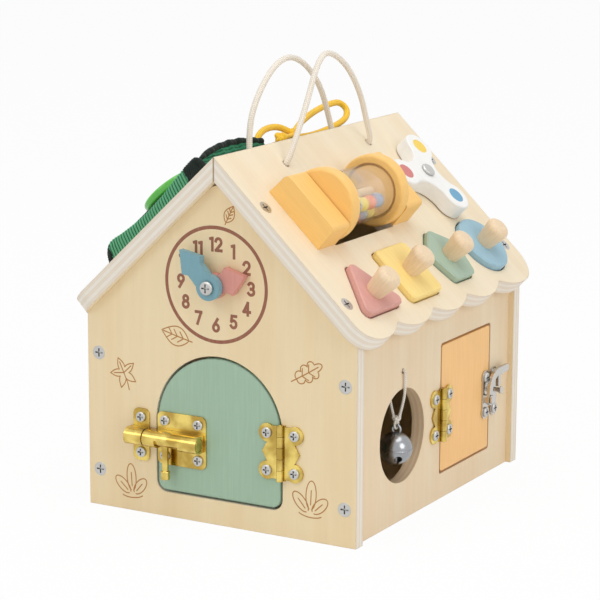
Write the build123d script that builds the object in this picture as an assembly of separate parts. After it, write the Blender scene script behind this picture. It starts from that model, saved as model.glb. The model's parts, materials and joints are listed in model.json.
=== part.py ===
from build123d import *
import math
import os

# Activity house: a plywood toy house with a lock, a latch, a clock, a bell, a bead drum,
# a spinner, knobbed shapes and a fabric dressing panel on its roof.
# Millimetres and degrees. Origin on the floor under the middle of the house,
# the clock gable faces -Y, the bell wall faces +X.

# House shell
house_width = 180.0
house_depth = 215.0
ridge_height = 216.0
roof_slope = 43.5
wall_ply = 8.0
roof_ply = 10.0
floor_ply = 6.0
side_wall_inset = 3.5
roof_overhang = 5.0
gable_peak_round = 8.0
eave_reach = 138.8
scallop_count = 5
scallop_depth = 6.6
scallop_shift = -4.0
valley_radius = 2.5
eave_front_radius = 14.0
eave_rear_radius = 20.0

# Fits and clearances
running_clearance = 0.08
seat_clearance = 0.3
screw_clearance = 0.02
door_gap = 1.5

# Panel screws, countersunk
panel_head_radius = 4.1
panel_head_depth = 2.6
panel_shank_radius = 1.9
panel_screw_length = 24.0
panel_screw_low = 22.0
panel_screw_high_share = 0.774
roof_screw_upper = 39.5
roof_screw_lower = 111.5
cross_width = 0.9
cross_depth = 1.0

# Hardware screws, pan head
pan_head_radius = 3.2
pan_head_height = 1.3
pan_shank_radius = 1.2
pan_screw_length = 6.0

# Butterfly hinges
hinge_leaf_thickness = 1.2
hinge_height = 33.0
hinge_knuckles = 5
knuckle_radius = 2.0
knuckle_gap = 0.25
hinge_pin_radius = 1.0
hinge_face_gap = 0.15
leaf_axis_gap = 0.4
hinge_screw_across = 9.0
hinge_screw_up = 11.0
hinge_lobe_radius = 5.4
hinge_tip_reach = 12.2
hinge_tip_half = 5.5

# Front door and its barrel bolt
doorway_width = 85.0
doorway_sill = 14.8
doorway_crown = 100.2
doorway_corner = 7.0
front_hinge_height = 49.5
bolt_axis_height = 47.6
bolt_axis_out = 5.7
bolt_plate_left = -41.2
bolt_plate_width = 33.0
bolt_plate_height = 31.5
bolt_plate_thickness = 1.0
bolt_plate_corner = 3.5
bolt_screw_edge = 5.2
bolt_rod_radius = 3.7
bolt_barrel_wall = 1.3
bolt_barrel_overhang = 5.0
bolt_barrel_setback = 1.4
bolt_window_left = -38.0
bolt_window_width = 16.0
bolt_handle_x = -33.0
bolt_handle_radius = 2.0
bolt_handle_drop = 23.5
bolt_tip_radius = 2.7
bolt_tip_length = 5.5
keeper_width = 11.0
keeper_sleeve_length = 12.0
keeper_gap = 0.8

# Clock on the front gable
clock_x = -1.2
clock_height_share = 0.41
clock_post_radius = 2.0
clock_head_radius = 4.1
clock_head_height = 1.9
clock_post_depth = 5.0
hand_thickness = 4.5
hand_spacing = 0.5
hand_hub_radius = 7.5
hand_neck_width = 11.0
minute_reach = 27.5
minute_angle = 132.6
hour_reach = 22.8
hour_angle = 19.5
arrow_length = 11.5
arrow_half_width = 8.3

# Bell window and jingle bell on the right wall
bell_window_radius_share = 0.2331
bell_window_along_share = -0.2271
bell_window_height_share = 0.4262
cord_hole_height_share = 0.745
cord_hole_radius = 1.7
bell_radius = 9.7
bell_shell = 0.9
bell_height_share = 0.358
bell_slot_width = 1.4
bell_slot_hole = 2.4
bell_slot_end = 60.0
bell_slot_turn = -53.0
bell_pellet_radius = 2.4
bell_loop_radius = 2.6
bell_loop_wire = 0.8
bell_cord_diameter = 1.8
bell_cord_stand_off = 0.5
bell_cord_straight_share = 0.45
bell_cord_bend = 1.9
bell_knot_radius = 2.3

# Side door and its swing hook on the right wall
side_door_start = 4.0
side_door_end_margin = 26.5
side_door_head_margin = 24.2
side_door_sill = 15.4
side_door_corner = 2.0
side_hinge_height_share = 0.4379
latch_plate_thickness = 1.2
latch_plate_from_edge = 6.0
latch_plate_width = 7.5
latch_eye_radius = 4.4
latch_screw_up = 11.0
latch_height_share = 0.4287
latch_pivot_drop = 2.5
latch_pivot_radius = 1.6
latch_collar_radius = 2.8
hook_stand_off = 3.0
hook_thickness = 2.0
hook_eye_radius = 3.6
hook_arc_radius = 12.0
hook_width = 4.5
hook_tab_reach = 13.5
catch_from_pivot = 12.0
catch_above_pivot = 3.5
catch_neck_radius = 1.5
catch_head_radius = 2.2
catch_head_height = 1.2
hook_lift = 0.4
hook_nub_width = 3.0

# Bead drum on the right roof panel
drum_down_slope = 52.8
drum_along_share = -0.1489
drum_slot_share = 0.3156
drum_slot_width = 45.0
drum_axis_rise = 8.5
drum_cap_radius = 21.6
drum_cap_width = 9.0
drum_cap_edge = 2.0
drum_end_gap = 0.7
drum_tube_radius = 16.7
drum_tube_wall = 1.5
drum_tube_seat = 3.0
drum_axle_radius = 3.0
bracket_width = 20.0
bracket_length = 44.0
bracket_rise = 16.0
bracket_draft = 1.0
bracket_edge = 3.0
bracket_blind = 5.0
bead_radius = 4.4
bead_rows = 4
bead_angles = (-165.0, -115.0, -65.0, -15.0)

# Spinner on the right roof panel
spinner_down_slope = 51.9
spinner_along_share = 0.2911
spinner_angle = 20.6
spinner_arm = 23.3
spinner_lobe_radius = 10.3
spinner_waist_half = 8.0
spinner_thickness = 10.2
spinner_edge = 0.7
spinner_washer_height = 0.5
spinner_washer_radius = 6.0
spinner_post_radius = 3.0
spinner_cap_radius = 4.6
spinner_cap_height = 1.6
spinner_post_depth = 8.0

# Knobbed shape pieces near the right eave
piece_down_slope = 106.8
piece_first_share = -0.34
piece_spacing_share = 0.2244
piece_thickness = 9.0
pocket_depth = 5.0
pocket_clearance = 0.8
piece_corner = 4.0
piece_edge = 0.8
triangle_side = 46.0
triangle_height = 36.5
triangle_shift = 5.1
square_side = 37.0
pentagon_radius = 20.5
pentagon_along_shift = 2.2
circle_radius = 19.2
knob_base_radius = 5.7
knob_top_radius = 8.2
knob_height = 16.0
knob_dome = 3.8
knob_tenon_radius = 3.0
knob_tenon_depth = 6.0

# Rope handles through both roof panels
rope_diameter = 3.6
rope_hole_radius = 2.4
rope_down_slope = 15.8
rope_span_share = 0.2267
rope_knot_radius = 5.6
rope_inside_end = -12.5
rope_outside_end = 5.0
# Each crown point: distance out, share of half the span, height over the ridge
right_rope_crown = [
    (14.0, -0.853, 6.0),
    (13.4, -0.608, 25.0),
    (13.0, -0.333, 41.0),
    (13.0, -0.02, 49.0),
    (13.0, 0.333, 41.0),
    (13.4, 0.647, 19.0),
    (14.0, 0.873, 3.0),
]
left_rope_crown = [
    (14.4, -1.039, 8.0),
    (14.4, -0.931, 22.0),
    (13.6, -0.696, 35.5),
    (13.0, -0.382, 44.0),
    (13.0, -0.039, 45.0),
    (13.0, 0.333, 37.5),
    (13.4, 0.647, 22.0),
    (14.2, 0.873, 4.0),
]

# Fabric dressing panel on the left roof panel; the shares are of the roof's length
fabric_top = 20.5
fabric_bottom = 102.5
fabric_front_share = -0.4622
fabric_rear_share = 0.4444
fabric_roll_height = 9.8
fabric_sag_height = 7.6
fabric_roll_bulge = 1.7
fabric_roll_width = 2.5
fabric_end_round = 2.5
frill_down_slope = 19.2
frill_front_share = -0.4489
frill_crown_share = -0.2311
frill_rear_share = -0.1
frill_low = 5.5
frill_front_height = 9.0
frill_crown_height = 18.1
frill_rear_height = 14.5
frill_cloth = 2.4
frill_waves = 8
frill_wave = 1.2
flap_top = 36.0
flap_bottom = 84.0
flap_front_share = -0.4133
flap_rear_share = -0.1556
flap_rise = 8.8
flap_cloth = 2.4
flap_corner = 9.0
button_radius = 18.0
button_thickness = 5.0
button_foot_radius = 6.0
button_foot_height = 1.5
button_rim = 2.6
button_dish = 1.2
button_hole_radius = 1.6
button_hole_offset = 3.4
button_down_slope = 60.0
button_along_share = -0.32

# Yellow lace bow; each point: down the slope, share of the roof's length, rise
lace_diameter = 3.4
lace_knot_radius = 3.9
lace_tail_radius = 3.6
lace_knot_place = (20.5, 0.0867, 12.8)
lace_tail_place = (18.4, 0.0133, 11.6)
lace_tail_diameter = 2.2
lace_stem_low = 7.5
rear_lace_loop = [
    (19.8, 0.0969, 14.2),
    (18.8, 0.1333, 18.0),
    (18.0, 0.2089, 22.2),
    (18.0, 0.288, 25.3),
    (18.0, 0.3667, 26.9),
    (18.0, 0.408, 26.4),
    (18.3, 0.4222, 20.6),
    (19.4, 0.3978, 15.6),
    (20.7, 0.36, 13.4),
    (22.5, 0.3022, 12.2),
    (24.5, 0.2311, 11.6),
    (24.5, 0.1644, 11.7),
    (23.0, 0.1133, 11.9),
    (21.8, 0.0933, 12.4),
]
front_lace_loop = [
    (20.8, 0.0809, 15.2),
    (21.0, 0.06, 18.0),
    (21.1, 0.0244, 20.8),
    (21.2, -0.0222, 21.2),
    (21.4, -0.0578, 20.0),
    (22.6, -0.0822, 17.6),
    (26.2, -0.0822, 12.6),
    (27.6, -0.0467, 11.6),
    (26.6, 0.0222, 11.8),
    (23.8, 0.0622, 12.4),
    (22.2, 0.0809, 12.9),
]

# Places that follow from the sizes above
slope = math.radians(roof_slope)
front_face = -house_depth / 2
back_face = house_depth / 2
side_face = house_width / 2 - side_wall_inset
inside_depth = house_depth - 2 * wall_ply
gable_peak = ridge_height - roof_ply / math.cos(slope)
gable_eave = gable_peak - house_width / 2 * math.tan(slope)
side_wall_top = gable_peak - side_face * math.tan(slope)
panel_screw_x = side_face - wall_ply / 2
panel_screw_high = panel_screw_high_share * side_wall_top
panel_screw_y = house_depth / 2 - wall_ply / 2
roof_length = house_depth + 2 * roof_overhang
hinge_axis_out = knuckle_radius + hinge_face_gap
piece_proud = piece_thickness - pocket_depth
clock_height = doorway_crown + clock_height_share * (gable_peak - doorway_crown)
bell_window_radius = bell_window_radius_share * side_wall_top
bell_window_height = bell_window_height_share * side_wall_top
bell_window_y = bell_window_along_share * inside_depth
cord_hole_height = cord_hole_height_share * side_wall_top
bell_height = bell_height_share * side_wall_top
side_door_width = inside_depth / 2 - side_door_start - side_door_end_margin
side_door_height = side_wall_top - side_door_sill - side_door_head_margin
side_hinge_height = side_hinge_height_share * side_wall_top
latch_height = latch_height_share * side_wall_top
drum_along = drum_along_share * roof_length
drum_slot_length = drum_slot_share * roof_length
spinner_along = spinner_along_share * roof_length
piece_first_along = piece_first_share * roof_length
piece_spacing = piece_spacing_share * roof_length
rope_half_span = rope_span_share * roof_length

front_plane = Plane(origin=(0, front_face, 0), x_dir=(1, 0, 0), z_dir=(0, -1, 0))
back_plane = Plane(origin=(0, back_face, 0), x_dir=(-1, 0, 0), z_dir=(0, 1, 0))
right_plane = Plane(origin=(side_face, 0, 0), x_dir=(0, 1, 0), z_dir=(1, 0, 0))
left_plane = Plane(origin=(-side_face, 0, 0), x_dir=(0, -1, 0), z_dir=(-1, 0, 0))
right_roof = Plane(
    origin=(0, 0, ridge_height),
    x_dir=(math.cos(slope), 0, -math.sin(slope)),
    z_dir=(math.sin(slope), 0, math.cos(slope)),
)
left_roof = Plane(
    origin=(0, 0, ridge_height),
    x_dir=(-math.cos(slope), 0, -math.sin(slope)),
    z_dir=(-math.sin(slope), 0, math.cos(slope)),
)

nodes = {}


def on_left(down, share, rise):
    """Place on the left roof panel, along it by a share of its length towards +Y."""
    return left_roof * Pos(down, -share * roof_length, rise)


def post(plane, across, up, low, high, radius):
    """Round bar square to a plane, between two heights over it."""
    return plane * Pos(across, up, (low + high) / 2) * Cylinder(radius, high - low)


def slab(outline, low, high):
    """Outline drawn flat, made solid between two heights."""
    return Pos(0, 0, low) * extrude(outline, high - low)


def group(solids):
    """Separate solids kept together in one node."""
    return Compound([solid for part in solids for solid in part.solids()])


def top_edges(part):
    return part.edges().group_by(Axis.Z)[-1]


def cross_recess(radius, top):
    """Phillips cross, sunk from the top of a screw head."""
    bar = Pos(0, 0, top - cross_depth / 2) * Box(2 * radius * 0.62, cross_width, cross_depth)
    return bar + Rot(0, 0, 90) * bar


def panel_screw(grow=0.0):
    """Countersunk screw whose head lies flush at height 0; grow makes its hole."""
    head = Pos(0, 0, -panel_head_depth / 2) * Cone(
        panel_shank_radius + grow, panel_head_radius + grow, panel_head_depth
    )
    shank_length = panel_screw_length - panel_head_depth
    shank_middle = -panel_head_depth - shank_length / 2
    shank = Pos(0, 0, shank_middle) * Cylinder(panel_shank_radius + grow, shank_length)
    return head + shank


def pan_screw(seat):
    """Pan head screw whose head sits on a plate of the given thickness."""
    head = Pos(0, 0, seat + pan_head_height / 2) * Cylinder(pan_head_radius, pan_head_height)
    head = fillet(top_edges(head), pan_head_height * 0.6)
    shank_length = seat + pan_screw_length
    shank = Pos(0, 0, seat - shank_length / 2) * Cylinder(pan_shank_radius, shank_length)
    return head + shank - cross_recess(pan_head_radius, seat + pan_head_height)


def pilot(places, plane):
    """Holes for pan head screws, through a plate and into the wood."""
    radius = pan_shank_radius + screw_clearance
    return [post(plane, x, y, -pan_screw_length, bolt_axis_out, radius) for x, y in places]


def pan_screws(places, plane, seat):
    return [plane * Pos(x, y, 0) * pan_screw(seat) for x, y in places]


def cut(part, tools):
    for tool in tools:
        part = part - tool
    return part


# Gable and side walls


def gable_outline():
    corners = [
        (-house_width / 2, 0),
        (house_width / 2, 0),
        (house_width / 2, gable_eave),
        (0, gable_peak),
        (-house_width / 2, gable_eave),
    ]
    outline = make_face(Polyline(corners, close=True))
    return fillet(outline.vertices().group_by(Axis.Y)[-1], gable_peak_round)


def arch_outline(shrink):
    """Round-topped doorway, drawn in by shrink on every side."""
    half = doorway_width / 2 - shrink
    sill = doorway_sill + shrink
    spring = doorway_crown - doorway_width / 2
    lower = Pos(0, (sill + spring) / 2) * Rectangle(2 * half, spring - sill)
    lower = fillet(lower.vertices().group_by(Axis.Y)[0], doorway_corner - shrink)
    return lower + Pos(0, spring) * Circle(half)


def side_door_outline(shrink):
    width = side_door_width - 2 * shrink
    height = side_door_height - 2 * shrink
    centre = Pos(side_door_start + side_door_width / 2, side_door_sill + side_door_height / 2)
    return centre * RectangleRounded(width, height, side_door_corner)


wall_screw_places = [
    (side * panel_screw_x, height)
    for side in (-1, 1)
    for height in (panel_screw_low, panel_screw_high)
]
roof_screw_places = [
    (down, side * panel_screw_y)
    for side in (-1, 1)
    for down in (roof_screw_upper, roof_screw_lower)
]
panel_screw_sites = [
    plane * Pos(x, y, 0)
    for plane, places in (
        (front_plane, wall_screw_places),
        (back_plane, wall_screw_places),
        (right_roof, roof_screw_places),
        (left_roof, roof_screw_places),
    )
    for x, y in places
]
panel_holes = [site * panel_screw(screw_clearance) for site in panel_screw_sites]
screw_recess = cross_recess(panel_head_radius, 0)
nodes["panel_screws"] = group([site * (panel_screw() - screw_recess) for site in panel_screw_sites])

gable_prism = front_plane * slab(gable_outline(), -house_depth, 0)
gable_wall = slab(gable_outline(), -wall_ply, 0)
doorway = slab(arch_outline(0), -wall_ply, 0)
side_wall_blank = slab(
    Pos(0, gable_peak / 2) * Rectangle(inside_depth, gable_peak), -wall_ply, 0
)
bell_window = post(right_plane, bell_window_y, bell_window_height, -wall_ply, 0, bell_window_radius)
cord_hole = post(right_plane, bell_window_y, cord_hole_height, -wall_ply, 0, cord_hole_radius)
side_doorway = right_plane * slab(side_door_outline(0), -wall_ply, 0)

front_wall = front_plane * (gable_wall - doorway)
back_wall = back_plane * gable_wall
right_wall = (right_plane * side_wall_blank) & gable_prism
right_wall = right_wall - bell_window - cord_hole - side_doorway
left_wall = (left_plane * side_wall_blank) & gable_prism
floor_width = 2 * (side_face - wall_ply)
nodes["floor_board"] = Pos(0, 0, floor_ply / 2) * Box(floor_width, inside_depth, floor_ply)


# Front door with its hinge and barrel bolt


def hinge_leaf(side, knuckles):
    """Butterfly hinge leaf with its axis at across 0, reaching towards the given side."""
    near = knuckle_radius + leaf_axis_gap
    pitch = hinge_height / hinge_knuckles
    body_width = hinge_screw_across - near
    outline = Pos(side * (near + body_width / 2), 0) * Rectangle(body_width, hinge_height - knuckle_radius)
    for up in (-hinge_screw_up, hinge_screw_up):
        outline = outline + Pos(side * hinge_screw_across, up) * Circle(hinge_lobe_radius)
    tip = [
        (side * near, -hinge_tip_half),
        (side * hinge_screw_across, -hinge_tip_half),
        (side * hinge_tip_reach, 0),
        (side * hinge_screw_across, hinge_tip_half),
        (side * near, hinge_tip_half),
    ]
    outline = outline + make_face(Polyline(tip, close=True))
    leaf = slab(outline, 0, hinge_leaf_thickness)
    for index in knuckles:
        middle = (index - (hinge_knuckles - 1) / 2) * pitch
        length = pitch - knuckle_gap
        leaf = leaf + Pos(0, middle, hinge_axis_out) * Rot(90, 0, 0) * Cylinder(knuckle_radius, length)
        tab_width = near + leaf_axis_gap
        tab = Pos(side * tab_width / 2, middle, hinge_leaf_thickness / 2) * Box(
            tab_width, length, hinge_leaf_thickness
        )
        leaf = leaf + tab
    bore = Pos(0, 0, hinge_axis_out) * Rot(90, 0, 0) * Cylinder(
        hinge_pin_radius + running_clearance, 2 * hinge_height
    )
    return leaf - bore


def hinge_pin():
    length = hinge_height + 2 * knuckle_gap
    pin = Rot(90, 0, 0) * Cylinder(hinge_pin_radius, length)
    pin = fillet(pin.edges().filter_by(GeomType.CIRCLE), hinge_pin_radius * 0.4)
    return Pos(0, 0, hinge_axis_out) * pin


def hinge_screw_places(axis_across, centre_up, side):
    across = axis_across + side * hinge_screw_across
    return [(across, centre_up + up) for up in (-hinge_screw_up, hinge_screw_up)]


wall_knuckles = range(0, hinge_knuckles, 2)
door_knuckles = range(1, hinge_knuckles, 2)

front_axis = doorway_width / 2 - door_gap / 2
front_hinge = front_plane * Pos(front_axis, front_hinge_height, 0)
front_wall_screw_places = hinge_screw_places(front_axis, front_hinge_height, 1)
front_leaf_screw_places = hinge_screw_places(front_axis, front_hinge_height, -1)

barrel_bore = bolt_rod_radius + running_clearance
barrel_radius = barrel_bore + bolt_barrel_wall
barrel_left = bolt_plate_left - bolt_barrel_overhang
barrel_right = bolt_plate_left + bolt_plate_width - bolt_barrel_setback
keeper_right = barrel_left - keeper_gap
keeper_middle = keeper_right - keeper_width / 2
plate_middle = bolt_plate_left + bolt_plate_width / 2
bolt_screw_up = bolt_plate_height / 2 - bolt_screw_edge
bolt_screw_places = [
    (plate_middle + sx * (bolt_plate_width / 2 - bolt_screw_edge), bolt_axis_height + sy * bolt_screw_up)
    for sx in (-1, 1)
    for sy in (-1, 1)
]
keeper_screw_places = [(keeper_middle, bolt_axis_height + sy * bolt_screw_up) for sy in (-1, 1)]


def bolt_sleeve(left, right, bore):
    """Sheet saddle over the bolt rod, from the plate up and round."""
    length = right - left
    middle = Pos((left + right) / 2, bolt_axis_height, bolt_axis_out)
    along = middle * Rot(0, 90, 0)
    foot_height = bolt_axis_out - bolt_plate_thickness
    foot = Pos((left + right) / 2, bolt_axis_height, bolt_plate_thickness + foot_height / 2) * Box(
        length, 2 * barrel_radius, foot_height
    )
    return along * Cylinder(barrel_radius, length) + foot - along * Cylinder(bore, length)


def bolt_plate_blank(middle, width):
    outline = Pos(middle, bolt_axis_height) * RectangleRounded(width, bolt_plate_height, bolt_plate_corner)
    return slab(outline, 0, bolt_plate_thickness)


def make_bolt_plate():
    window_low = bolt_axis_out - bolt_handle_radius - 2 * seat_clearance
    window_height = 2 * barrel_radius
    window = Pos(
        bolt_window_left + bolt_window_width / 2,
        bolt_axis_height - barrel_radius + seat_clearance,
        window_low + window_height / 2,
    ) * Box(bolt_window_width, 2 * barrel_radius, window_height)
    sleeve = bolt_sleeve(barrel_left, barrel_right, barrel_bore) - window
    return bolt_plate_blank(plate_middle, bolt_plate_width) + sleeve


def make_bolt_rod():
    length = barrel_right - barrel_left
    axis = Pos((barrel_left + barrel_right) / 2, bolt_axis_height, bolt_axis_out)
    rod = axis * Rot(0, 90, 0) * Cylinder(bolt_rod_radius, length)
    rod = fillet(rod.edges().filter_by(GeomType.CIRCLE), bolt_rod_radius * 0.15)
    drop = bolt_handle_drop - bolt_tip_length
    handle = Pos(bolt_handle_x, bolt_axis_height - drop / 2, bolt_axis_out) * Rot(90, 0, 0) * Cylinder(
        bolt_handle_radius, drop
    )
    tip = Pos(bolt_handle_x, bolt_axis_height - drop - bolt_tip_length / 2, bolt_axis_out) * Rot(90, 0, 0)
    grip = tip * Cylinder(bolt_tip_radius, bolt_tip_length)
    grip = fillet(grip.edges().filter_by(GeomType.CIRCLE), bolt_tip_radius * 0.3)
    return rod + handle + grip


front_door = slab(arch_outline(door_gap), -wall_ply, 0)
nodes["front_door"] = cut(
    front_plane * front_door, pilot(front_leaf_screw_places + bolt_screw_places, front_plane)
)
nodes["front_hinge_wall_leaf"] = cut(
    front_hinge * hinge_leaf(1, wall_knuckles), pilot(front_wall_screw_places, front_plane)
)
nodes["front_hinge_door_leaf"] = cut(
    front_hinge * hinge_leaf(-1, door_knuckles), pilot(front_leaf_screw_places, front_plane)
)
nodes["front_hinge_pin"] = front_hinge * hinge_pin()
nodes["bolt_plate"] = cut(front_plane * make_bolt_plate(), pilot(bolt_screw_places, front_plane))
nodes["bolt_rod"] = front_plane * make_bolt_rod()
keeper_blank = bolt_plate_blank(keeper_middle, keeper_width) + bolt_sleeve(
    keeper_right - keeper_sleeve_length, keeper_right, barrel_bore + seat_clearance
)
nodes["bolt_keeper"] = cut(front_plane * keeper_blank, pilot(keeper_screw_places, front_plane))
nodes["front_door_screws"] = group(
    pan_screws(front_leaf_screw_places, front_plane, hinge_leaf_thickness)
    + pan_screws(bolt_screw_places, front_plane, bolt_plate_thickness)
)


# Clock


def clock_hand(reach):
    """Arrow-ended hand pointing along +X from its hub at the origin."""
    shoulder = reach - arrow_length
    arrow = [
        (shoulder, -arrow_half_width),
        (reach, 0),
        (shoulder, arrow_half_width),
        (shoulder - arrow_length / 4, hand_neck_width / 2),
        (0, hand_neck_width / 2),
        (0, -hand_neck_width / 2),
        (shoulder - arrow_length / 4, -hand_neck_width / 2),
    ]
    outline = make_face(Polyline(arrow, close=True)) + Circle(hand_hub_radius)
    outline = outline - Circle(clock_post_radius + running_clearance)
    return extrude(outline, hand_thickness)


clock_spot = front_plane * Pos(clock_x, clock_height, 0)
hour_low = hand_spacing
minute_low = hour_low + hand_thickness + hand_spacing
clock_head_low = minute_low + hand_thickness + hand_spacing
hour_turn = Pos(0, 0, hour_low) * Rot(0, 0, hour_angle)
minute_turn = Pos(0, 0, minute_low) * Rot(0, 0, minute_angle)
nodes["clock_hour_hand"] = clock_spot * hour_turn * clock_hand(hour_reach)
nodes["clock_minute_hand"] = clock_spot * minute_turn * clock_hand(minute_reach)
clock_shank = slab(Circle(clock_post_radius), -clock_post_depth, clock_head_low)
clock_head = slab(Circle(clock_head_radius), clock_head_low, clock_head_low + clock_head_height)
clock_head = fillet(top_edges(clock_head), clock_head_height * 0.6)
clock_recess = cross_recess(clock_head_radius, clock_head_low + clock_head_height)
nodes["clock_pivot"] = clock_spot * (clock_shank + clock_head - clock_recess)
clock_hole = post(
    front_plane, clock_x, clock_height, -clock_post_depth, 0, clock_post_radius + screw_clearance
)


# Side door with its hinge and swing hook

side_axis = side_door_start + door_gap / 2
side_hinge = right_plane * Pos(side_axis, side_hinge_height, 0)
side_wall_screw_places = hinge_screw_places(side_axis, side_hinge_height, -1)
side_leaf_screw_places = hinge_screw_places(side_axis, side_hinge_height, 1)
latch_across = side_door_start + side_door_width - door_gap - latch_plate_from_edge
pivot_up = latch_height - latch_pivot_drop
catch_across = latch_across + catch_from_pivot
catch_up = pivot_up + catch_above_pivot
latch_screw_places = [(latch_across, latch_height + sy * latch_screw_up) for sy in (-1, 1)]
catch_screw_places = [(catch_across, latch_height + sy * latch_screw_up) for sy in (-1, 1)]
hook_top = hook_stand_off + hook_thickness


def eye_plate(across):
    """Narrow plate with a round screw eye at each end."""
    outline = Pos(across, latch_height) * Rectangle(latch_plate_width, 2 * latch_screw_up)
    for sy in (-1, 1):
        outline = outline + Pos(across, latch_height + sy * latch_screw_up) * Circle(latch_eye_radius)
    return slab(outline, 0, latch_plate_thickness)


def make_latch_base():
    spot = Pos(latch_across, pivot_up, 0)
    collar_high = hook_stand_off - seat_clearance
    collar = slab(Circle(latch_collar_radius), latch_plate_thickness, collar_high)
    shaft = slab(Circle(latch_pivot_radius), latch_plate_thickness, hook_top + seat_clearance)
    cap_low = hook_top + seat_clearance
    cap = slab(Circle(latch_collar_radius), cap_low, cap_low + latch_plate_thickness)
    return eye_plate(latch_across) + spot * (collar + shaft + cap)


def make_latch_catch():
    spot = Pos(catch_across, catch_up, 0)
    neck = slab(Circle(catch_neck_radius), latch_plate_thickness, hook_top + seat_clearance)
    head_low = hook_top + seat_clearance
    head = slab(Circle(catch_head_radius), head_low, head_low + catch_head_height)
    return eye_plate(catch_across) + spot * (neck + head)


def make_latch_hook():
    """Sickle that arches over the catch, with a nub above its neck and a finger tab."""
    inner = hook_arc_radius - hook_width / 2
    outer = hook_arc_radius + hook_width / 2
    arch = Circle(outer) - Circle(inner)
    arch = arch & (Pos(0, outer / 2) * Rectangle(2 * outer, outer))
    leg_drop = catch_above_pivot
    leg = Pos(-hook_arc_radius, -leg_drop / 2) * Rectangle(hook_width, leg_drop)
    keep_right = hook_width
    arch = arch & (Pos((keep_right - outer) / 2, 0) * Rectangle(keep_right + outer, 2 * outer))
    tab = RectangleRounded(hook_tab_reach, hook_width, hook_width * 0.4)
    tab = Pos(hook_tab_reach / 2, hook_arc_radius) * tab
    nub_low = catch_head_radius + hook_lift
    nub = Pos(0, (nub_low + hook_arc_radius) / 2) * Rectangle(hook_nub_width, hook_arc_radius - nub_low)
    eye = Pos(-catch_from_pivot, -catch_above_pivot) * Circle(hook_eye_radius)
    hole = Pos(-catch_from_pivot, -catch_above_pivot) * Circle(latch_pivot_radius + running_clearance)
    outline = arch + leg + tab + nub + eye - hole
    return Pos(catch_across, catch_up) * slab(outline, hook_stand_off, hook_top)


nodes["side_door"] = cut(
    right_plane * slab(side_door_outline(door_gap), -wall_ply, 0),
    pilot(side_leaf_screw_places + latch_screw_places, right_plane),
)
nodes["side_hinge_wall_leaf"] = cut(
    side_hinge * hinge_leaf(-1, wall_knuckles), pilot(side_wall_screw_places, right_plane)
)
nodes["side_hinge_door_leaf"] = cut(
    side_hinge * hinge_leaf(1, door_knuckles), pilot(side_leaf_screw_places, right_plane)
)
nodes["side_hinge_pin"] = side_hinge * hinge_pin()
nodes["latch_base"] = cut(right_plane * make_latch_base(), pilot(latch_screw_places, right_plane))
nodes["latch_catch"] = cut(right_plane * make_latch_catch(), pilot(catch_screw_places, right_plane))
nodes["latch_hook"] = right_plane * make_latch_hook()
nodes["side_door_screws"] = group(
    pan_screws(side_leaf_screw_places, right_plane, hinge_leaf_thickness)
    + pan_screws(latch_screw_places, right_plane, latch_plate_thickness)
)
nodes["hardware_screws"] = group(
    pan_screws(front_wall_screw_places, front_plane, hinge_leaf_thickness)
    + pan_screws(keeper_screw_places, front_plane, bolt_plate_thickness)
    + pan_screws(side_wall_screw_places, right_plane, hinge_leaf_thickness)
    + pan_screws(catch_screw_places, right_plane, latch_plate_thickness)
)

front_pilots = pilot(front_wall_screw_places + keeper_screw_places, front_plane)
nodes["front_wall"] = cut(front_wall, panel_holes + front_pilots + [clock_hole])
nodes["right_wall"] = cut(
    right_wall, panel_holes + pilot(side_wall_screw_places + catch_screw_places, right_plane)
)
nodes["back_wall"] = cut(back_wall, panel_holes)
nodes["left_wall"] = cut(left_wall, panel_holes)


# Jingle bell on its cord

bell_x = side_face - wall_ply / 2
bell_spot = Pos(bell_x, bell_window_y, bell_height)
bell_loop_up = bell_radius + bell_loop_radius - bell_loop_wire
cord_ring_up = bell_loop_up + bell_loop_radius + seat_clearance
bell_knot_up = bell_loop_up + bell_loop_radius + bell_loop_wire + bell_knot_radius + seat_clearance


def make_bell_shell():
    shell = Sphere(bell_radius) - Sphere(bell_radius - bell_shell)
    band = Torus(bell_radius, bell_shell / 2)
    bottom_cut = Box(bell_radius * 1.6, bell_slot_width, bell_radius * 0.7)
    bottom_cut = Rot(0, 0, bell_slot_turn) * Pos(0, 0, -bell_radius * 0.72) * bottom_cut
    ends = [
        Rot(0, 0, bell_slot_turn)
        * Rot(0, side * bell_slot_end, 0)
        * Pos(0, 0, -bell_radius)
        * Cylinder(bell_slot_hole, bell_radius * 0.5)
        for side in (-1, 1)
    ]
    loop = Pos(0, 0, bell_loop_up) * Rot(90, 0, 0) * Torus(bell_loop_radius, bell_loop_wire)
    shell = shell + band + (loop - Sphere(bell_radius - bell_shell / 2)) - bottom_cut
    return cut(shell, ends)


def tube(points, diameter, radii):
    """Round cord along straight runs and tangent arcs."""
    path = FilletPolyline(*points, radius=radii)
    section = Plane(origin=path @ 0, z_dir=path % 0) * Circle(diameter / 2)
    return sweep(section, path=path), path.length


def bend_radii(points, share=0.45):
    """Largest arcs that the runs beside each corner allow."""
    radii = []
    for before, corner, after in zip(points, points[1:], points[2:]):
        first = Vector(*corner) - Vector(*before)
        second = Vector(*after) - Vector(*corner)
        half_turn = math.radians(first.get_angle(second)) / 2
        radii.append(share * min(first.length, second.length) / math.tan(half_turn))
    return radii


def cord(name, points, diameter, radii=None):
    """Cord tube, with its length, tightest bend and volume check printed."""
    radii = radii or bend_radii(points)
    solid, length = tube(points, diameter, radii)
    expected = length * math.pi * diameter**2 / 4
    print(name, "length", round(length, 1), "least radius", round(min(radii), 1), "of", round(diameter, 1),
          "volume share", round(solid.volume / expected, 4))
    return solid


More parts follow.
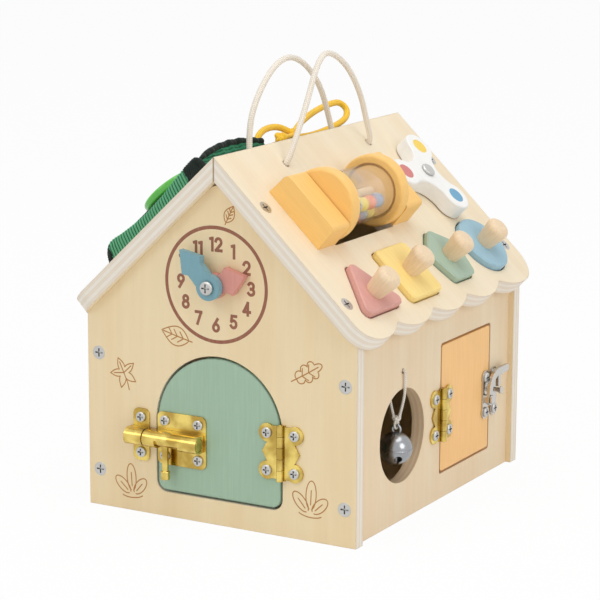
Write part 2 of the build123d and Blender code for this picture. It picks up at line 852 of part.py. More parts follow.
knot_centre = (bell_x, bell_window_y, bell_height + bell_knot_up)
outer_strand = side_face + bell_cord_diameter / 2 + bell_cord_stand_off
inner_strand = side_face - wall_ply - bell_cord_diameter / 2 - bell_cord_stand_off
strand_low = cord_hole_height - bell_cord_straight_share * (cord_hole_height - knot_centre[2])
bell_cord_route = [
    (bell_x + bell_cord_diameter, bell_window_y, knot_centre[2] + bell_knot_radius / 2),
    (outer_strand, bell_window_y, strand_low),
    (outer_strand, bell_window_y, cord_hole_height),
    (inner_strand, bell_window_y, cord_hole_height),
    (inner_strand, bell_window_y, strand_low),
    (bell_x - bell_cord_diameter, bell_window_y, knot_centre[2] + bell_knot_radius / 2),
]
cord_turns = bend_radii(bell_cord_route)
cord_turns[1] = bell_cord_bend
cord_turns[2] = bell_cord_bend
bell_ring = Pos(bell_x, bell_window_y, bell_height + cord_ring_up) * Rot(0, 90, 0) * Torus(
    bell_loop_radius - seat_clearance, bell_cord_diameter / 2 - seat_clearance / 2
)
bell_knot = Pos(*knot_centre) * Sphere(bell_knot_radius) + bell_ring
nodes["bell_knot"] = bell_knot
nodes["bell_shell"] = bell_spot * make_bell_shell()
pellet_drop = bell_radius - bell_shell - bell_pellet_radius - seat_clearance
nodes["bell_pellet"] = bell_spot * Pos(0, 0, -pellet_drop) * Sphere(bell_pellet_radius)
nodes["bell_cord"] = cord("bell_cord", bell_cord_route, bell_cord_diameter, cord_turns) - bell_knot


# Bead drum

drum_spot = right_roof * Pos(drum_down_slope, drum_along, drum_axis_rise)
along_roof = Rot(90, 0, 0)
drum_half = drum_slot_length / 2 - drum_end_gap
cap_middle = drum_half - drum_cap_width / 2
tube_half = drum_half - drum_cap_width + drum_tube_seat


def make_drum_cap(side):
    """Turned wooden drum end with a ring groove for the clear tube."""
    cap = Cylinder(drum_cap_radius, drum_cap_width)
    cap = fillet(cap.edges().filter_by(GeomType.CIRCLE), drum_cap_edge)
    cap = cap - Cylinder(drum_axle_radius + running_clearance, drum_cap_width)
    groove = Cylinder(drum_tube_radius, drum_tube_seat)
    groove = groove - Cylinder(drum_tube_radius - drum_tube_wall, drum_tube_seat)
    cap = cap - Pos(0, 0, drum_cap_width / 2 - drum_tube_seat / 2) * groove
    turn = Rot(-90, 0, 0) if side < 0 else Rot(90, 0, 0)
    return drum_spot * Pos(0, side * cap_middle, 0) * turn * cap


def make_bracket(side):
    """Drafted wooden block, blind bored for the axle."""
    half = bracket_length / 2
    base = -drum_axis_rise
    profile = make_face(
        Polyline(
            (-half, base),
            (half, base),
            (half - bracket_draft, base + bracket_rise),
            (-half + bracket_draft, base + bracket_rise),
            close=True,
        )
    )
    profile = fillet(profile.vertices().group_by(Axis.Y)[-1], bracket_edge)
    inner = side * drum_slot_length / 2
    rear_face = inner if side < 0 else inner + bracket_width
    block = Pos(0, rear_face, 0) * Rot(90, 0, 0) * extrude(profile, bracket_width)
    bore_depth = bracket_width - bracket_blind
    bore = Pos(0, inner + side * bore_depth / 2, 0) * along_roof * Cylinder(drum_axle_radius, bore_depth)
    return drum_spot * (block - bore)


nodes["drum_bracket_front"] = make_bracket(-1)
nodes["drum_bracket_rear"] = make_bracket(1)
nodes["drum_cap_front"] = make_drum_cap(-1)
nodes["drum_cap_rear"] = make_drum_cap(1)
axle_length = drum_slot_length + 2 * (bracket_width - bracket_blind)
nodes["drum_axle"] = drum_spot * along_roof * Cylinder(drum_axle_radius, axle_length)
tube_wall = Cylinder(drum_tube_radius, 2 * tube_half)
tube_wall = tube_wall - Cylinder(drum_tube_radius - drum_tube_wall, 2 * tube_half)
nodes["drum_tube"] = drum_spot * along_roof * tube_wall
bead_circle = drum_tube_radius - drum_tube_wall - bead_radius - seat_clearance / 2
bead_pitch = 2 * bead_radius + seat_clearance
drum_axis = right_roof.from_local_coords(Vector(drum_down_slope, drum_along, drum_axis_rise))


def make_beads():
    """Beads in rows along the drum, side by side in the lower half of its tube."""
    beads = []
    for row in range(bead_rows):
        along = (row - (bead_rows - 1) / 2) * bead_pitch
        for angle in bead_angles:
            across = bead_circle * math.cos(math.radians(angle))
            rise = bead_circle * math.sin(math.radians(angle))
            place = drum_axis + Vector(across, along, rise)
            beads.append(Pos(*place) * Sphere(bead_radius))
    return beads


nodes["drum_beads"] = group(make_beads())
drum_slot = right_roof * Pos(drum_down_slope, drum_along, -roof_ply / 2) * Box(
    drum_slot_width, drum_slot_length, roof_ply
)


# Spinner


def spinner_outline():
    """Three round lobes joined by hollow arcs that run on smoothly from them."""
    lean = math.sqrt(3) / 2
    slack = spinner_lobe_radius - spinner_waist_half
    reach = spinner_arm + 2 * slack * lean
    hollow_place = 2 * (reach - math.sqrt(reach**2 - spinner_arm**2 + slack**2))
    hollow_radius = lean * hollow_place - spinner_waist_half
    lobe_centre = Vector(spinner_arm, 0)
    hollow_centre = Vector(hollow_place / 2, lean * hollow_place)
    share = spinner_lobe_radius / (spinner_lobe_radius + hollow_radius)
    leave = lobe_centre + (hollow_centre - lobe_centre) * share
    enter = Vector(leave.X, -leave.Y)
    tip = Vector(spinner_arm + spinner_lobe_radius, 0)
    waist = hollow_centre * ((hollow_place - hollow_radius) / hollow_place)
    edges = []
    for third in range(3):
        turn = Rot(0, 0, third * 120)
        edges.append(turn * ThreePointArc(enter, tip, leave))
        edges.append(turn * ThreePointArc(leave, waist, enter.rotate(Axis.Z, 120)))
    return make_face(edges)


spinner_spot = right_roof * Pos(spinner_down_slope, spinner_along, 0)
spinner_low = spinner_washer_height + seat_clearance
spinner_high = spinner_low + spinner_thickness
spinner_body = slab(spinner_outline(), spinner_low, spinner_high)
spinner_body = chamfer(top_edges(spinner_body), spinner_edge)
spinner_bore = slab(Circle(spinner_post_radius + running_clearance), spinner_low, spinner_high)
nodes["spinner_body"] = spinner_spot * Rot(0, 0, spinner_angle) * (spinner_body - spinner_bore)
washer = slab(Circle(spinner_washer_radius) - Circle(spinner_post_radius), 0, spinner_washer_height)
nodes["spinner_washer"] = spinner_spot * washer
cap_low = spinner_high + seat_clearance
spinner_cap = slab(Circle(spinner_cap_radius), cap_low, cap_low + spinner_cap_height)
spinner_cap = fillet(top_edges(spinner_cap), spinner_cap_height * 0.6)
spinner_shaft = slab(Circle(spinner_post_radius), -spinner_post_depth, cap_low)
nodes["spinner_post"] = spinner_spot * (spinner_cap + spinner_shaft)
spinner_hole = spinner_spot * slab(Circle(spinner_post_radius), -spinner_post_depth, 0)


# Knobbed shape pieces in their pockets


def piece_outlines():
    """Name, outline round its centre, how far down the knob stands from it, and shift along the roof."""
    triangle = Polyline(
        (-triangle_height * 2 / 3 + triangle_shift, 0),
        (triangle_height / 3 + triangle_shift, triangle_side / 2),
        (triangle_height / 3 + triangle_shift, -triangle_side / 2),
        close=True,
    )
    pentagon = [
        (
            -pentagon_radius * math.cos(math.radians(72 * k)),
            pentagon_radius * math.sin(math.radians(72 * k)),
        )
        for k in range(5)
    ]
    return [
        ("triangle", make_face(triangle), triangle_shift, 0.0),
        ("square", Rectangle(square_side, square_side), 0.0, 0.0),
        ("pentagon", make_face(Polyline(pentagon, close=True)), 0.0, pentagon_along_shift),
        ("circle", Circle(circle_radius), 0.0, 0.0),
    ]


def make_knob():
    """Turned wooden knob, wider towards its rounded top, with a tenon below."""
    grip = Pos(0, 0, knob_height / 2) * Cone(knob_base_radius, knob_top_radius, knob_height)
    grip = fillet(top_edges(grip), knob_dome)
    return grip + Pos(0, 0, -knob_tenon_depth / 2) * Cylinder(knob_tenon_radius, knob_tenon_depth)


pockets = []
for index, (shape, outline, knob_shift, along_shift) in enumerate(piece_outlines()):
    along = piece_first_along + index * piece_spacing + along_shift
    spot = right_roof * Pos(piece_down_slope, along, 0)
    if shape != "circle":
        outline = fillet(outline.vertices(), piece_corner)
    pocket_outline = offset(outline, pocket_clearance)
    body = slab(outline, -pocket_depth + screw_clearance, piece_proud)
    body = chamfer(top_edges(body), piece_edge)
    tenon_hole = slab(Circle(knob_tenon_radius), piece_proud - knob_tenon_depth, piece_proud)
    nodes[shape + "_piece"] = spot * (body - Pos(knob_shift, 0) * tenon_hole)
    nodes[shape + "_knob"] = spot * Pos(knob_shift, 0, piece_proud) * make_knob()
    pockets.append(spot * slab(pocket_outline, -pocket_depth, 0))


# Roof panels


def roof_outline():
    """Panel from the ridge to a lobed eave, with its front end at -Y and rounded outer corners."""
    half = roof_length / 2
    valley = eave_reach - scallop_depth
    lobe = roof_length / scallop_count
    ends = [-half]
    ends += [k * lobe - half + scallop_shift for k in range(1, scallop_count)]
    ends += [half]
    edges = [Line((0, half), (0, -half)), Line((0, -half), (valley, -half))]
    for start, end in zip(ends, ends[1:]):
        tip = (eave_reach, (start + end) / 2)
        edges.append(ThreePointArc((valley, start), tip, (valley, end)))
    edges.append(Line((valley, half), (0, half)))
    outline = make_face(edges)
    inner = [v for v in outline.vertices() if abs(v.Y) < half - lobe / 2]
    outline = fillet(inner, valley_radius)
    for side, radius in ((-1, eave_front_radius), (1, eave_rear_radius)):
        outer = [v for v in outline.vertices() if side * v.Y > half - lobe / 4 and v.X > valley / 2]
        outline = fillet(outer, radius)
    return outline


roof_panel = slab(roof_outline(), -roof_ply, 0)
half_space = Pos(0, 0, ridge_height) * Box(4 * roof_ply, 2 * roof_length, 4 * roof_ply)
rope_holes = [
    post(Plane.XY, rope_down_slope, side * rope_half_span, -roof_ply, 0, rope_hole_radius)
    for side in (-1, 1)
]
drilled_panel = cut(roof_panel, rope_holes)
nodes["roof_right"] = cut(
    right_roof * drilled_panel,
    [Pos(-2 * roof_ply, 0, 0) * half_space, drum_slot, spinner_hole] + pockets + panel_holes,
)
nodes["roof_left"] = cut(
    left_roof * mirror(drilled_panel, about=Plane.XZ),
    [Pos(2 * roof_ply, 0, 0) * half_space] + panel_holes,
)


# Rope handles, tied together in one knot under each end of the ridge

knot_height = ridge_height - rope_down_slope / math.sin(slope)
rope_knots = [
    Pos(0, side * rope_half_span, knot_height) * Sphere(rope_knot_radius)
    for side in (-1, 1)
]


def rope_route(side, crown):
    """Route up one hole, over the crown and down the other, for one roof panel."""
    def hole_point(along, rise):
        x = rope_down_slope * math.cos(slope) + rise * math.sin(slope)
        z = ridge_height - rope_down_slope * math.sin(slope) + rise * math.cos(slope)
        return (side * x, along, z)

    front = [hole_point(-rope_half_span, rise) for rise in (rope_inside_end, rope_outside_end)]
    rear = [hole_point(rope_half_span, rise) for rise in (rope_outside_end, rope_inside_end)]
    over = [(side * out, share * rope_half_span, ridge_height + rise) for out, share, rise in crown]
    return front + over + rear


nodes["rope_knots"] = group(rope_knots)
right_rope = cord("rope_handle_right", rope_route(1, right_rope_crown), rope_diameter)
left_rope = cord("rope_handle_left", rope_route(-1, left_rope_crown), rope_diameter)
nodes["rope_handle_right"] = cut(right_rope, rope_knots)
nodes["rope_handle_left"] = cut(left_rope, rope_knots)


# Fabric dressing panel


def fabric_section(along, shrink, share):
    """Padded section down the slope: a roll at each end and a sagging middle."""
    top = fabric_top + shrink
    bottom = fabric_bottom - shrink
    roll = fabric_roll_height * share
    sag = fabric_sag_height * share
    base = seat_clearance
    inner_top = top + fabric_roll_width
    inner_bottom = bottom - 2 * fabric_roll_width
    outline = make_face(
        [
            Line((bottom, base), (top, base)),
            ThreePointArc((top, base), (top - fabric_roll_bulge, roll / 2), (inner_top, roll)),
            ThreePointArc((inner_top, roll), ((top + bottom) / 2, sag), (inner_bottom, roll)),
            ThreePointArc((inner_bottom, roll), (bottom + fabric_roll_bulge, roll / 2), (bottom, base)),
        ]
    )
    return left_roof * Pos(0, -along, 0) * Rot(90, 0, 0) * outline


def make_fabric_panel():
    front = fabric_front_share * roof_length
    rear = fabric_rear_share * roof_length
    stations = [
        (front, fabric_end_round, 0.7),
        (front + fabric_end_round, fabric_end_round / 4, 0.95),
        (front + 4 * fabric_end_round, 0.0, 1.0),
        (rear - 4 * fabric_end_round, 0.0, 1.0),
        (rear - fabric_end_round, fabric_end_round / 4, 0.95),
        (rear, fabric_end_round, 0.7),
    ]
    return loft([fabric_section(*station) for station in stations], ruled=True)


def make_frill():
    """Upright gathered strip along the ridge side, in round waves under an arched top edge."""
    near = -frill_rear_share * roof_length
    crown = -frill_crown_share * roof_length
    far = -frill_front_share * roof_length
    step = (far - near) / frill_waves

    def wavy(shift):
        return [
            ThreePointArc(
                (shift, near + k * step),
                (shift + (frill_wave if k % 2 else -frill_wave), near + (k + 0.5) * step),
                (shift, near + (k + 1) * step),
            )
            for k in range(frill_waves)
        ]

    edges = wavy(0) + wavy(frill_cloth)
    edges.append(Line((0, near), (frill_cloth, near)))
    edges.append(Line((0, far), (frill_cloth, far)))
    strip = slab(make_face(edges), frill_low, frill_crown_height + frill_cloth)
    front_top = (far, frill_front_height)
    rear_top = (near, frill_rear_height)
    profile = make_face(
        [
            Line((near, frill_low), (far, frill_low)),
            Line((far, frill_low), front_top),
            ThreePointArc(front_top, (crown, frill_crown_height), rear_top),
            Line(rear_top, (near, frill_low)),
        ]
    )
    silhouette = Plane.YZ * slab(profile, -2 * frill_cloth, 3 * frill_cloth)
    return left_roof * Pos(frill_down_slope, 0, 0) * (strip & silhouette)


def make_button():
    """Dished coat button with four holes, raised on a small foot."""
    button = Cylinder(button_radius, button_thickness)
    button = fillet(button.edges().filter_by(GeomType.CIRCLE), button_thickness * 0.3)
    foot_low = -button_thickness / 2 - button_foot_height
    button = button + slab(Circle(button_foot_radius), foot_low, 0)
    dish_radius = button_radius - 2 * button_rim
    button = button - Pos(0, 0, button_thickness / 2 - button_dish / 2) * Cylinder(dish_radius, button_dish)
    for sx in (-1, 1):
        for sy in (-1, 1):
            hole = slab(Circle(button_hole_radius), foot_low, button_thickness / 2)
            button = button - Pos(sx * button_hole_offset, sy * button_hole_offset, 0) * hole
    return button


fabric_panel = make_fabric_panel()
nodes["fabric_panel"] = fabric_panel
nodes["fabric_frill"] = make_frill() - fabric_panel
flap_length = (flap_rear_share - flap_front_share) * roof_length
flap_outline = RectangleRounded(flap_bottom - flap_top, flap_length, flap_corner)
flap_spot = on_left((flap_top + flap_bottom) / 2, (flap_front_share + flap_rear_share) / 2, flap_rise)
nodes["fabric_flap"] = flap_spot * extrude(flap_outline, flap_cloth)
button_rise = flap_rise + flap_cloth + seat_clearance + button_foot_height + button_thickness / 2
nodes["fabric_button"] = on_left(button_down_slope, button_along_share, button_rise) * make_button()


def lace_route(points):
    """Points of the lace, taken from the left roof panel to the house's own axes."""
    places = [Vector(down, -share * roof_length, rise) for down, share, rise in points]
    return [tuple(left_roof.from_local_coords(place)) for place in places]


def make_lace_knot():
    """Knot with a stem sewn into the panel and a knotted tail beside it."""
    knot, tail = [Vector(*place) for place in lace_route([lace_knot_place, lace_tail_place])]
    stem_drop = lace_stem_low - lace_knot_place[2]
    stem = on_left(*lace_knot_place) * slab(Circle(lace_diameter / 2), stem_drop, 0)
    strand_plane = Plane(origin=knot, z_dir=tail - knot)
    strand = strand_plane * slab(Circle(lace_tail_diameter / 2), 0, (tail - knot).length)
    solid = Pos(*knot) * Sphere(lace_knot_radius) + Pos(*tail) * Sphere(lace_tail_radius)
    return solid + stem + strand - fabric_panel


lace_knot = make_lace_knot()
nodes["lace_knot"] = lace_knot
for name, loop in (("lace_loop_rear", rear_lace_loop), ("lace_loop_front", front_lace_loop)):
    nodes[name] = cord(name, lace_route(loop), lace_diameter) - lace_knot

os.makedirs("parts", exist_ok=True)
for name, shape in nodes.items():
    export_step(shape, os.path.join("parts", name + ".step"))
print(len(nodes), "nodes")
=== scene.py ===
import json
from functools import partial
from math import atan2, copysign, cos, degrees, hypot, pi, radians, sin, sqrt

import bmesh
import bpy
import numpy as np
from mathutils import Matrix, Vector, noise

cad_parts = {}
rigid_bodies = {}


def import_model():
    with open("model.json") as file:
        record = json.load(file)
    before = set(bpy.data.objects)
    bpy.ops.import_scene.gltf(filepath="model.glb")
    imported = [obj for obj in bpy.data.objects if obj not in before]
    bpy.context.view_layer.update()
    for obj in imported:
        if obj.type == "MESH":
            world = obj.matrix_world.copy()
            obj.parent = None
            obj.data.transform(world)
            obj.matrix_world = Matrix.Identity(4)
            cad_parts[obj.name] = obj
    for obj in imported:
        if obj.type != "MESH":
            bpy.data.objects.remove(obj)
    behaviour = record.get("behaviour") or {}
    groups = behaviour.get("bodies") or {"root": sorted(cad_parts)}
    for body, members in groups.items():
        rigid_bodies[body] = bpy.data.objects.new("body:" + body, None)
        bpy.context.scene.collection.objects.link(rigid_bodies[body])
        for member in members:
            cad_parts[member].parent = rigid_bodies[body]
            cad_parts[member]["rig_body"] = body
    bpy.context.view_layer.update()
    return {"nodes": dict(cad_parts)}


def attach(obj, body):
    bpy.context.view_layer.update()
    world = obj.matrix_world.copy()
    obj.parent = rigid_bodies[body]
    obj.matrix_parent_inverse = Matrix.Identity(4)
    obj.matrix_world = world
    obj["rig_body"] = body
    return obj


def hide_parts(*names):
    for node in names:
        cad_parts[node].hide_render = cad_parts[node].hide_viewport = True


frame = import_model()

# Lengths are in millimetres and become metres as meshes are made. Shader lengths are in metres.
MM = 0.001
scene = bpy.context.scene
TURN = 2 * pi
SLOPE = radians(43.5)
COS, SIN = cos(SLOPE), sin(SLOPE)
RIDGE = 216.0
ROOF_LENGTH = 225.0
FRONT = -107.5
SIDE = 86.5
WALL_LENGTH, WALL_HEIGHT = 199, 120.13


def on_roof(side, u, y, w):
    """Place on a roof panel: down the slope, along the house, out from the surface."""
    return Vector((side * (u * COS + w * SIN), y, RIDGE - u * SIN + w * COS)) * MM


left_roof, right_roof = partial(on_roof, -1), partial(on_roof, 1)


def rgb(r, g, b):
    """Screen colour, 0 to 255, as linear light."""
    def one(value):
        value /= 255
        return value / 12.92 if value <= 0.04045 else ((value + 0.055) / 1.055) ** 2.4
    return (one(r), one(g), one(b), 1.0)


def tone(colour, gain):
    """The same colour, darker or brighter."""
    return tuple(min(1.0, channel * gain) for channel in colour[:3]) + (1.0,)


def show(name, data):
    """New object in the scene."""
    made = bpy.data.objects.new(name, data)
    scene.collection.objects.link(made)
    return made


# Camera, fitted to the house's edges in the photo

AZIMUTH, ELEVATION, ROLL = (radians(a) for a in (29.523, 11.982, 0.249))
EYE_SHIFT, EYE_HEIGHT, EYE_DISTANCE = -6.619, 113.82, 1446.5
LENS, SENSOR = 142.73, 36


def make_camera():
    back = Vector((
        sin(AZIMUTH) * cos(ELEVATION),
        -cos(AZIMUTH) * cos(ELEVATION),
        sin(ELEVATION),
    ))
    right = Vector((cos(AZIMUTH), sin(AZIMUTH), 0))
    up = back.cross(right)
    axis_x = right * cos(ROLL) + up * sin(ROLL)
    axis_y = up * cos(ROLL) - right * sin(ROLL)
    data = bpy.data.cameras.new("camera")
    data.lens = LENS
    data.sensor_width = SENSOR
    data.clip_start = 0.05
    data.clip_end = 30
    camera = show("camera", data)
    place = Matrix((axis_x, axis_y, back)).transposed().to_4x4()
    place.translation = (right * EYE_SHIFT + Vector((0, 0, EYE_HEIGHT)) + back * EYE_DISTANCE) * MM
    camera.matrix_world = place
    scene.camera = camera


make_camera()


# Node helpers: a new node goes into the tree of the socket or node that it is given

def feed(socket, value):
    """Links a node's output to a socket, or sets the socket's own value."""
    if isinstance(value, bpy.types.NodeSocket):
        socket.id_data.links.new(value, socket)
    elif value is not None:
        socket.default_value = value


def settle(node, **sockets):
    for name, value in sockets.items():
        feed(node.inputs[name.replace("_", " ")], value)


def put(beside, kind, *values, out=0, named=None, **props):
    """Adds a node, feeds its inputs in order or by name, and gives one of its outputs."""
    node = beside.id_data.nodes.new("ShaderNode" + kind)
    for key, value in props.items():
        setattr(node, key, value)
    for socket, value in zip(node.inputs, values):
        feed(socket, value)
    settle(node, **(named or {}))
    return node.outputs[out]


def material(name):
    """New material, its shader, and the place in millimetres and the normal on the object."""
    made = bpy.data.materials.new(name)
    made.use_nodes = True
    bsdf = made.node_tree.nodes["Principled BSDF"]
    place = made.node_tree.nodes.new("ShaderNodeTexCoord").outputs
    where = put(bsdf, "VectorMath", place["Object"], named={"Scale": 1000.0}, operation="SCALE")
    return made, bsdf, where, place["Normal"]


def calc(operation, first, *others):
    return put(first, "Math", first, *others, operation=operation)


def dot(vector, direction):
    return put(vector, "VectorMath", vector, tuple(direction), operation="DOT_PRODUCT", out=1)


def blend(factor, first, second, mode="MIX"):
    """Mixes two colours, through the sockets of the node's colour form."""
    node = factor.id_data.nodes.new("ShaderNodeMix")
    node.data_type = "RGBA"
    node.blend_type = mode
    for index, value in ((0, factor), (6, first), (7, second)):
        feed(node.inputs[index], value)
    return node.outputs[2]


def span(value, low, high, to_low=0.0, to_high=1.0):
    """Smooth step from one range to another."""
    ranges = low, high, to_low, to_high
    return put(value, "MapRange", value, *ranges, interpolation_type="SMOOTHSTEP")


def speckle(vector, scale, detail=3.0, rough=0.5):
    return put(vector, "TexNoise", vector, None, scale, detail, rough)


def grained(vector, axes, scales, detail=3.0, rough=0.5):
    """Noise scaled differently along three directions, for grain and fibre."""
    parts = [calc("MULTIPLY", dot(vector, axis), scale) for axis, scale in zip(axes, scales)]
    return speckle(put(vector, "CombineXYZ", *parts), 1.0, detail, rough)


def axes_along(direction):
    """Three directions at right angles, the first along the grain."""
    along = Vector(direction).normalized()
    across = along.orthogonal().normalized()
    return along, across, along.cross(across)


def bump(bsdf, height, strength, distance, rounding=0.0):
    """Fine relief, on edges that look rounded where asked."""
    named = {"Strength": strength, "Distance": distance, "Height": height}
    if rounding:
        named["Normal"] = put(bsdf, "Bevel", rounding, samples=4)
    settle(bsdf, Normal=put(bsdf, "Bump", named=named))


# Materials

PLIES = 5
EDGES = rgb(240, 233, 221), rgb(234, 221, 203)
# Painted shade: warmer, darker ply edge colours for the right wall, whose window hole edges stand
# in shade
EDGES_SHADED_SIDE = rgb(240, 214, 180), rgb(232, 200, 162)
X, Y, Z = (1, 0, 0), (0, 1, 0), (0, 0, 1)
SCRATCH_AXES = (0.8, 0.2, 0.55), (0.2, 0.9, -0.3), (-0.5, 0.3, 0.8)


def plywood(name, face, depth_zero, thickness, grain, colour, edges=EDGES, mitre=False):
    """Sealed birch plywood: faint grain, layers on the cut edges, glue in a mitre at the ridge."""
    made, bsdf, where, normal = material(name)
    pale, dark = edges
    face, grain = Vector(face).normalized(), Vector(grain).normalized()
    axes = grain, face.cross(grain), face
    fine = grained(where, axes, (0.012, 0.28, 0.2), 5.0, 0.6)
    broad = grained(where, axes, (0.006, 0.05, 0.05), 2.0)
    pores = grained(where, axes, (0.12, 2.2, 1.0), 2.0)
    fibre = grained(where, axes, (0.5, 0.5, 2.0), 4.0, 0.65)
    wood = blend(span(fine, 0.35, 0.68), tone(colour, 0.985), tone(colour, 1.008))
    patch = span(broad, 0.36, 0.68, 0.0, 0.15)
    wood = blend(patch, wood, rgb(236, 205, 165), "MULTIPLY")
    wood = blend(span(pores, 0.62, 0.74, 0.0, 0.05), wood, rgb(160, 118, 76))
    layer = calc("MULTIPLY", calc("SUBTRACT", dot(where, face), depth_zero), PLIES / thickness)
    stray = calc("MULTIPLY", calc("SUBTRACT", fibre, 0.5), 0.8)
    swing = calc("ADD", calc("SINE", calc("MULTIPLY", layer, pi)), stray)
    layers = blend(span(swing, -0.3, 0.3), dark, pale)
    glue = calc("ABSOLUTE", calc("SUBTRACT", calc("FRACT", layer), 0.5))
    layers = blend(span(glue, 0.43, 0.49, 0.0, 0.22), layers, tone(dark, 0.78))
    layers = blend(span(fibre, 0.4, 0.7, 0.0, 0.25), layers, tone(dark, 0.9))
    if mitre:
        off = calc("ABSOLUTE", dot(where, X))
        layers = blend(span(off, 0.25, 0.7, 0.8, 0.0), layers, rgb(150, 120, 76))
    edge = span(calc("ABSOLUTE", dot(normal, face)), 0.45, 0.75, 1.0, 0.0)
    rough = span(fine, 0.3, 0.7, 0.62, 0.48)
    settle(bsdf, Base_Color=blend(edge, wood, layers), Roughness=rough, Specular_IOR_Level=0.35)
    bump(bsdf, calc("ADD", fine, pores), 0.06, 0.0002, 0.0007)
    return made


def stained(name, colour, grain, rough=0.5, depth=0.035, rounding=0.0006):
    """Smooth painted or stained wood with the grain just showing."""
    made, bsdf, where, _ = material(name)
    fine = grained(where, axes_along(grain), (0.04, 0.8, 0.8), 4.0, 0.6)
    cloud = span(speckle(where, 0.05, 2.0), 0.35, 0.7, 0.0, 0.35)
    dark, pale = tone(colour, 1.0 - depth), tone(colour, 1.0 + depth)
    shade = blend(cloud, blend(span(fine, 0.35, 0.7), dark, pale), dark)
    rough = span(fine, 0.3, 0.7, rough + 0.06, rough - 0.04)
    settle(bsdf, Base_Color=shade, Roughness=rough, Specular_IOR_Level=0.4)
    bump(bsdf, fine, 0.08, 0.0002, rounding)
    return made


def turned(name, colour, axis):
    """Bare turned beech: streaks along the axis and darker flecks."""
    made, bsdf, where, _ = material(name)
    axes = axes_along(axis)
    fine = grained(where, axes, (0.07, 0.75, 0.75), 5.0, 0.62)
    fleck = grained(where, axes, (0.35, 2.6, 2.6), 2.0)
    shade = blend(span(fine, 0.32, 0.7), tone(colour, 0.93), tone(colour, 1.03))
    shade = blend(span(fleck, 0.64, 0.74, 0.0, 0.14), shade, rgb(176, 130, 84))
    settle(bsdf, Base_Color=shade, Roughness=span(fine, 0.3, 0.7, 0.44, 0.32))
    bump(bsdf, calc("ADD", fine, fleck), 0.06, 0.0002, 0.0005)
    return made


def metal(name, colour, rough, scratch=0.05, tint=None, shade_recesses=True, uneven=0.04):
    """Plated metal: faint handling marks, uneven polish, uneven tone (painted reflection where
    strong, as on the brass) and painted shade in recesses where asked.
    """
    made, bsdf, where, _ = material(name)
    cloud = speckle(where, 0.09, 2.0)
    marks = grained(where, SCRATCH_AXES, (0.2, 3.0, 3.0))
    # Random tone; where uneven is large, as on the brass, it is painted reflection
    dark, pale = tone(colour, 1 - uneven), tone(tint or colour, 1 + uneven / 2)
    shade = blend(span(cloud, 0.35, 0.7), dark, pale)
    # Painted shade: darker where the ambient occlusion node finds a recess
    if shade_recesses:
        air = put(bsdf, "AmbientOcclusion", None, 0.0012, out=1, samples=8, only_local=True)
        shade = blend(span(air, 0.25, 0.8), tone(colour, 0.25), shade)
    rough = span(cloud, 0.3, 0.7, rough * 0.85, rough * 1.25)
    settle(bsdf, Base_Color=shade, Roughness=rough, Metallic=1.0)
    bump(bsdf, marks, scratch, 0.0001, 0.0003)
    return made


def yarn(name, crest, groove, sheen=0.25, fuzz=1.6):
    """Braided or woven cotton with loose fibre; the groove colour, where the crest attribute is
    low, is painted shade between the strands.
    """
    made, bsdf, where, _ = material(name)
    fibre = speckle(where, fuzz, 4.0, 0.7)
    strand = put(bsdf, "Attribute", out="Fac", attribute_name="crest")
    # Painted shade: the groove colour where the strands dip
    shade = blend(span(strand, 0.1, 0.8), groove, crest)
    shade = blend(span(fibre, 0.35, 0.75, 0.0, 0.3), shade, tone(crest, 0.9))
    settle(bsdf, Base_Color=shade, Roughness=0.9, Specular_IOR_Level=0.2)
    settle(bsdf, Sheen_Weight=sheen, Sheen_Roughness=0.6)
    bump(bsdf, fibre, 0.2, 0.0002)
    return made


def corduroy(name, crest, groove):
    """Ribbed cotton: rounded wales with brushed pile along them, and painted shade as the dark
    colour of the grooves between them.
    """
    made, bsdf, where, _ = material(name)
    pile = grained(where, (Y, X, Z), (0.9, 2.4, 2.4), 4.0, 0.7)
    patch = speckle(where, 0.06, 3.0, 0.6)
    rib = put(bsdf, "Attribute", out="Fac", attribute_name="rib")
    # Painted shade: the groove colour between the wales
    shade = blend(span(rib, 0.22, 0.82), groove, crest)
    shade = blend(span(pile, 0.4, 0.75, 0.0, 0.35), shade, tone(crest, 0.7))
    shade = blend(span(patch, 0.4, 0.7, 0.0, 0.25), shade, tone(crest, 0.8))
    settle(bsdf, Base_Color=shade, Roughness=0.95, Specular_IOR_Level=0.15)
    settle(bsdf, Sheen_Weight=0.35, Sheen_Roughness=0.5, Sheen_Tint=rgb(150, 220, 180))
    bump(bsdf, pile, 0.5, 0.0003)
    return made


def plastic(name, colour, rough, cloudy=0.05):
    """Moulded glossy plastic with slight flow marks and dust."""
    made, bsdf, where, _ = material(name)
    flow = speckle(where, 0.09)
    dust = speckle(where, 2.2, 3.0, 0.6)
    shade = blend(span(flow, 0.35, 0.68), tone(colour, 1.0 - cloudy), tone(colour, 1.0 + cloudy))
    rough = span(dust, 0.35, 0.75, rough * 0.85, rough * 1.5)
    settle(bsdf, Base_Color=shade, Roughness=rough, Coat_Weight=0.25, Coat_Roughness=0.08)
    bump(bsdf, flow, 0.05, 0.0002, 0.0004)
    return made


def ink(name, colour, worn=0.0):
    """Printed or burnt line on wood, with the grain breaking it up where worn."""
    made, bsdf, where, _ = material(name)
    grain = grained(where, (Z, X, Y), (0.2, 1.6, 1.0), 4.0, 0.65)
    shade = blend(span(grain, 0.45, 0.75, 0.0, worn), colour, rgb(214, 182, 142))
    settle(bsdf, Base_Color=shade, Roughness=0.6, Specular_IOR_Level=0.3)
    bump(bsdf, grain, 0.1, 0.0001)
    return made


